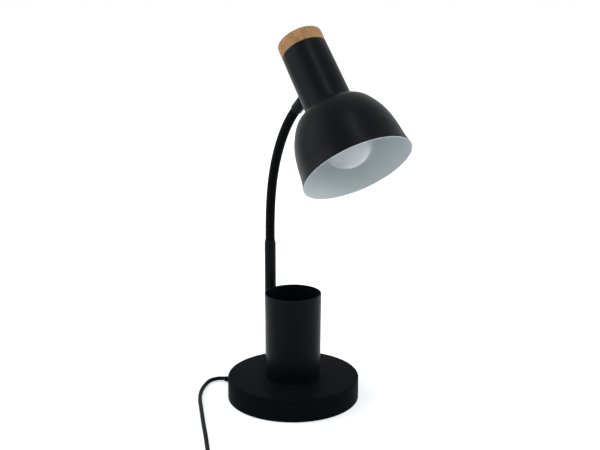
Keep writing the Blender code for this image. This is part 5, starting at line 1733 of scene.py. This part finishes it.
@dataclass
class MainsCord:
    """The mains cord: its relief, its run over the desk and through the switch, its coil and tie.

    Attributes:
        diameter: the cord's diameter.
        exit_angle: the direction in which it leaves the base.
        exit_height: the height at which it leaves.
        tip: how far from the base's axis the relief ends.
        coil_centre: the coil's middle.
        coil_inner: the radius of the innermost turn's line.
        pitch: the distance between two turns.
        turns: turns in the coil.
        coil_start: the angle at which the cord enters the coil.
        coil_low: the height of the lower layer's line.
        lead: the points from the relief to the switch.
        run: the points from the switch to the coil.
        tail: the points from the coil to the plug.
        spacing: the distance between two points of the finished line.
        relief_root: how far from the base's axis the relief's outer part starts.
        relief_flange: where its inner flange starts and ends, from the same axis.
        relief_radii: its radius at the root, the tip, the neck in the wall and the flange.
        relief_edges: the roundings at its tip and root.
        relief_steps: bands along it.
        relief_groove: a groove's depth.
        band_shares: shares of a band at which a rib and a groove end.
        tie_wall: the tie's wall.
        tie_width: the tie's width along the cord.
        tie_gap: the gap between the tie and the coil.
        tie_edges: the roundings of its outer and inner corners and of its rims.
        tie_angle: where on the coil it sits.
    """

    diameter: float = 0.005
    exit_angle: float = EXIT_ANGLE
    exit_height: float = EXIT_HEIGHT
    tip: float = 0.0963
    coil_centre: tuple[float, float] = (-0.1150, -0.1901)
    coil_inner: float = 0.0210
    pitch: float = 0.0055
    turns: float = 6.5
    coil_start: float = math.radians(-123.75)
    coil_low: float = 0.0036
    lead: tuple[Point, ...] = (
        (-0.0500, 0.0866, 0.0047), (-0.0530, 0.0908, 0.0040), (-0.0587, 0.0937, 0.0032),
        (-0.0664, 0.0926, 0.0027), (-0.0790, 0.0826, 0.0026), (-0.0910, 0.0692, 0.0026),
        (-0.1021, 0.0522, 0.0026), (-0.1140, 0.0280, 0.0026), (-0.1245, 0.0060, 0.0026),
        (-0.1340, -0.0140, 0.0026), (-0.1436, -0.0350, 0.0026), (-0.1530, -0.0550, 0.0026),
        (-0.1625, -0.0748, 0.0027), (-0.1680, -0.0862, 0.0036), (-0.1764, -0.1010, 0.0062),
    )
    run: tuple[Point, ...] = (
        (-0.2075, -0.1476, 0.0062), (-0.2173, -0.1627, 0.0034), (-0.2214, -0.1719, 0.0026),
        (-0.2223, -0.1822, 0.0026), (-0.2193, -0.1918, 0.0026), (-0.2127, -0.1995, 0.0026),
        (-0.2030, -0.2047, 0.0026), (-0.1918, -0.2079, 0.0026), (-0.1793, -0.2090, 0.0027),
        (-0.1658, -0.2103, 0.0031), (-0.1535, -0.2135, 0.0035),
    )
    tail: tuple[Point, ...] = (
        (-0.1084, -0.1479, 0.0090), (-0.1190, -0.1420, 0.0085), (-0.1294, -0.1379, 0.0079),
        (-0.1405, -0.1364, 0.0073), (-0.1512, -0.1389, 0.0070), (-0.1585, -0.1443, 0.0069),
        (-0.1621, -0.1490, 0.00685),
    )
    spacing: float = 0.004
    relief_root: float = 0.0803
    relief_flange: tuple[float, float] = (0.0757, 0.0772)
    relief_radii: tuple[float, float, float, float] = (0.0043, 0.0032, 0.0034, 0.0045)
    relief_edges: tuple[float, float] = (0.0005, 0.0004)
    relief_steps: int = 9
    relief_groove: float = 0.0006
    band_shares: tuple[float, float] = (0.42, 0.30)
    tie_wall: float = 0.0008
    tie_width: float = 0.005
    tie_gap: float = 0.0003
    tie_edges: tuple[float, float, float] = (0.0024, 0.0017, 0.0002)
    tie_angle: float = math.radians(-33.75)

    def outward(self) -> Vector:
        """Returns the direction in which the cord leaves the base."""
        return Vector((math.cos(self.exit_angle), math.sin(self.exit_angle), 0.0))

    def coil(self) -> list[Vector]:
        """Returns the coil's line: it spirals in, climbs a layer and spirals out."""
        loop = 48
        middle = self.turns / 2
        points = []
        for step in range(round(self.turns * loop) + 1):
            turns = step / loop
            off = turns - middle
            radius = self.coil_inner + self.pitch * abs(off)
            climb = min(1.0, max(0.0, off * 2 + 0.5))
            angle = self.coil_start + math.tau * turns
            points.append(Vector((
                self.coil_centre[0] + radius * math.cos(angle),
                self.coil_centre[1] + radius * math.sin(angle),
                self.coil_low + self.pitch * climb * climb * (3 - 2 * climb),
            )))
        first, last = (Vector((-math.sin(angle), math.cos(angle), 0.0)) * self.diameter
                       for angle in (self.coil_start, self.coil_start + math.tau * self.turns))
        return [points[0] - first, *points, points[-1] + last]

    def route(self) -> list[Vector]:
        """Returns the whole cord's line, from the relief's tip to the plug."""
        spacing = self.spacing
        coil = self.coil()
        tip = self.outward() * self.tip + Vector((0.0, 0.0, self.exit_height))
        near, far = Vector(self.lead[-1]), Vector(self.run[0])
        through = (far - near).normalized() * self.diameter
        into_coil = (coil[1] - coil[0]).normalized() * self.diameter
        out_of_coil = (coil[-1] - coil[-2]).normalized() * self.diameter
        return [
            tip, *smooth_line([*self.lead[:-1], near - through], spacing), near,
            far, *smooth_line([far + through, *self.run[1:], coil[0] - into_coil], spacing),
            *coil, *smooth_line([coil[-1] + out_of_coil, *self.tail[:-1]], spacing), Vector(self.tail[-1]),
        ]

    def build(self, others: list[bpy.types.Object]) -> None:
        """Builds and dresses the cord.

        Args:
            others: the switch's and the plug's pieces; not used.
        """
        relief = self.relief()
        tie = self.tie()
        route = self.route()
        cord = poly_line("mains_cord", route)
        cord.data.bevel_depth = self.diameter / 2
        cord.data.bevel_resolution = 4
        cord.data.use_fill_caps = True
        cord.data.splines[0].use_smooth = True
        parts = ("cord_lead", "cord_run", "cord_coil", "cord_tail")
        finish_piece(cord, Finish.SHEATH, "rubber", "stand", *parts)
        line_length(route)
        log.info("cord of %.3f m", line_length(route))

    def relief(self) -> bpy.types.Object:
        """Builds the grooved rubber relief at the base."""
        root, end = self.relief_root, self.tip
        wide, slim, neck, flange = self.relief_radii
        end_edge, root_edge = self.relief_edges
        inner, outer = self.relief_flange
        outline: list[Corner] = [(0.0, end), (slim, end, end_edge)]
        step = (end - root) / self.relief_steps
        lip, floor = (step * share for share in self.band_shares)
        for count in range(self.relief_steps - 1, 0, -1):
            middle = root + step * count
            rib = wide + (slim - wide) * count / self.relief_steps
            groove = rib - self.relief_groove
            if count % 2:
                outline += [(rib, middle + lip), (groove, middle + floor), (groove, middle - floor),
                            (rib, middle - lip)]
        outline += [(wide, root, root_edge), (neck, root), (neck, outer), (flange, outer), (flange, inner),
                    (0.0, inner)]
        place = aimed((0.0, 0.0, self.exit_height), self.outward())
        piece = turned("cord_guard", rounded(outline, 4), 48, place)
        return finish_piece(piece, Finish.SHEATH, "rubber", "stand", "strain_relief")

    def tie(self) -> bpy.types.Object:
        """Builds the band round the coil."""
        outer_reach = self.coil_inner + self.pitch * self.turns / 2 + self.diameter / 2
        inner_reach = self.coil_inner - self.diameter / 2
        half = (outer_reach - inner_reach) / 2 + self.tie_gap
        tall = (self.pitch + self.diameter) / 2 + self.tie_gap
        wall, side = self.tie_wall, self.tie_width / 2
        outer_edge, inner_edge, rim_edge = self.tie_edges
        piece = box("coil_band", (-half - wall, -side, -tall - wall), (half + wall, side, tall + wall))
        hole = box("band_hole", (-half, -2 * side, -tall), (half, 2 * side, tall))
        for item, width in ((piece, outer_edge), (hole, inner_edge)):
            select_only(item)
            start_edit()
            select_edges(item, lambda a, b: abs(a.y - b.y) > 100 * NEAR)
            bpy.ops.mesh.bevel(offset=width, segments=6, affect="EDGES")
            end_edit()
        carve(piece, [hole])
        soften(piece, rim_edge, 2, 60.0)
        middle = at(*self.coil_centre, wall + tall) @ Matrix.Rotation(self.tie_angle, 4, "Z")
        set_down(piece, middle @ at(x=(outer_reach + inner_reach) / 2))
        return finish_piece(piece, Finish.SHEATH, "rubber", "stand", "cord_tie")


# Camera and set


CAMERA_HEADING = math.radians(55.85)


@dataclass
class Camera:
    """The photograph's camera.

    Attributes:
        eye: where it stands.
        heading: the direction that it looks in, from +X, in radians.
        pitch: how far it looks down, in radians.
        focal_pixels: its focal length in pixels of a frame 600 wide.
        frame_width: the frame's width in pixels.
        sensor: the sensor's width in millimetres.
    """

    eye: Point = (-0.6667, -0.9978, 0.52075)
    heading: float = CAMERA_HEADING
    pitch: float = math.radians(14.19)
    focal_pixels: float = 1044.9
    frame_width: float = 600.0
    sensor: float = 36.0

    def build(self) -> None:
        """Adds the camera and makes it the scene's."""
        deselect()
        turn = (math.pi / 2 - self.pitch, 0.0, self.heading - math.pi / 2)
        bpy.ops.object.camera_add(location=self.eye, rotation=turn)
        camera = bpy.context.object
        camera.name = "photo_camera"
        camera.data.sensor_fit = "HORIZONTAL"
        camera.data.sensor_width = self.sensor
        camera.data.lens = self.focal_pixels / self.frame_width * self.sensor
        camera.data.clip_start = 0.01
        camera.data.clip_end = 50.0
        bpy.context.scene.camera = camera


@dataclass(frozen=True)
class Softbox:
    """A studio lamp with a large soft face.

    Attributes:
        name: the lamp's name.
        azimuth: its direction from the camera's side, in degrees to the right of the camera.
        elevation: its height over the horizon, in degrees.
        distance: how far it stands from the lamp's middle.
        width: its face's width.
        height: its face's height.
        power: its power in watts.
        colour: its colour.
    """

    name: str
    azimuth: float
    elevation: float
    distance: float
    width: float
    height: float
    power: float
    colour: Colour = (1.0, 1.0, 1.0)


@dataclass
class Studio:
    """The pale floor, the white surround and the soft lamps.

    Attributes:
        target: the point that the lamps face.
        camera_azimuth: where the camera stands, in radians from +X.
        ambient: the surround's strength on the object.
        floor_colour: the floor's colour.
        floor_lift: how much the floor brightens for the camera.
        shadow_lift: the same close to the object, where its shadow lies.
        shadow_reach: where the one passes into the other, from the base's middle.
        floor_size: the floor's length and width.
        lamps: the softboxes.
    """

    target: Point = (0.0, -0.02, 0.22)
    camera_azimuth: float = CAMERA_HEADING + math.pi
    ambient: float = 0.46
    floor_colour: Colour = (0.80, 0.80, 0.80)
    floor_lift: float = 0.80
    shadow_lift: float = 0.52
    shadow_reach: tuple[float, float] = (0.10, 0.45)
    floor_size: float = 12.0
    lamps: tuple[Softbox, ...] = (
        Softbox("key_left", -86.0, 24.0, 1.9, 1.5, 1.4, 16.0, (0.88, 0.93, 1.0)),
        Softbox("fill_right", 82.0, 20.0, 2.1, 0.7, 1.6, 12.0, (1.0, 0.975, 0.94)),
        Softbox("top", 10.0, 67.0, 1.8, 0.24, 1.1, 9.5, (0.76, 0.88, 1.0)),
    )

    def build(self) -> None:
        """Builds the set."""
        bpy.context.scene.view_settings.view_transform = "Standard"
        self.surround()
        self.floor()
        for lamp in self.lamps:
            self.softbox(lamp)

    def surround(self) -> None:
        """Gives the world a white backdrop and a softer light on the object."""
        world = bpy.data.worlds.new("white_surround")
        bpy.context.scene.world = world
        world.use_nodes = True
        tree = world.node_tree
        background = tree.nodes["Background"]
        background.inputs["Color"].default_value = (1.0, 1.0, 1.0, 1.0)
        path = tree.nodes.new("ShaderNodeLightPath")
        seen = self.seen(tree, path)
        level = tree.nodes.new("ShaderNodeMapRange")
        level.inputs["To Min"].default_value = self.ambient
        level.inputs["To Max"].default_value = 1.0
        tree.links.new(seen, level.inputs["Value"])
        tree.links.new(level.outputs["Result"], background.inputs["Strength"])

    def seen(self, tree: bpy.types.NodeTree, path: bpy.types.Node) -> bpy.types.NodeSocket:
        """Returns 1 where a camera, glossy or transmission ray arrives."""
        total = path.outputs["Is Camera Ray"]
        for name in ("Is Glossy Ray", "Is Transmission Ray"):
            highest = tree.nodes.new("ShaderNodeMath")
            highest.operation = "MAXIMUM"
            tree.links.new(total, highest.inputs[0])
            tree.links.new(path.outputs[name], highest.inputs[1])
            total = highest.outputs[0]
        return total

    def floor(self) -> None:
        """Adds the floor, which keeps the lamp's shadow and turns white for the camera."""
        deselect()
        bpy.ops.mesh.primitive_plane_add(size=self.floor_size, location=(0.0, 0.0, 0.0))
        floor = bpy.context.object
        floor.name = "studio_floor"
        material = bpy.data.materials.new("white_floor")
        material.use_nodes = True
        tree = material.node_tree
        shader = tree.nodes["Principled BSDF"]
        shader.inputs["Base Color"].default_value = (*self.floor_colour, 1.0)
        shader.inputs["Roughness"].default_value = 0.9
        shader.inputs["Specular IOR Level"].default_value = 0.0
        shader.inputs["Emission Color"].default_value = (1.0, 1.0, 1.0, 1.0)
        path = tree.nodes.new("ShaderNodeLightPath")
        seen = self.seen(tree, path)
        place = tree.nodes.new("ShaderNodeTexCoord")
        reach = tree.nodes.new("ShaderNodeVectorMath")
        reach.operation = "LENGTH"
        tree.links.new(place.outputs["Object"], reach.inputs[0])
        spread = tree.nodes.new("ShaderNodeMapRange")
        limits = (*self.shadow_reach, self.shadow_lift, self.floor_lift)
        for name, value in zip(("From Min", "From Max", "To Min", "To Max"), limits):
            spread.inputs[name].default_value = value
        tree.links.new(reach.outputs["Value"], spread.inputs["Value"])
        lift = tree.nodes.new("ShaderNodeMath")
        lift.operation = "MULTIPLY"
        tree.links.new(spread.outputs["Result"], lift.inputs[1])
        tree.links.new(seen, lift.inputs[0])
        tree.links.new(lift.outputs[0], shader.inputs["Emission Strength"])
        floor.data.materials.append(material)

    def softbox(self, lamp: Softbox) -> None:
        """Adds one lamp.

        Args:
            lamp: the softbox's place and power.
        """
        angle = self.camera_azimuth + math.radians(lamp.azimuth)
        lift = math.radians(lamp.elevation)
        level = math.cos(lift)
        way = Vector((math.cos(angle) * level, math.sin(angle) * level, math.sin(lift)))
        offset = way * lamp.distance
        deselect()
        bpy.ops.object.light_add(type="AREA", location=Vector(self.target) + offset)
        light = bpy.context.object
        light.name = lamp.name
        light.data.shape = "RECTANGLE"
        light.data.size = lamp.width
        light.data.size_y = lamp.height
        light.data.energy = lamp.power
        light.data.color = lamp.colour
        light.rotation_euler = offset.to_track_quat("Z", "Y").to_euler()


# Main


def main() -> None:
    """Builds the lamp's looks over its solids, and its camera and set."""
    logging.basicConfig(level=logging.INFO, format="%(name)s: %(message)s")
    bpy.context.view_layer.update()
    Camera().build()
    switch_pieces = Switch().build()
    plug_pieces = Plug().build()
    MainsCord().build(switch_pieces + plug_pieces)
    Base().build()
    PenCup().build()
    Stem().build()
    Gooseneck().build()
    Head().build()
    Lampholder().build()
    Bulb().build()
    Studio().build()


if __name__ == "__main__":
    main()
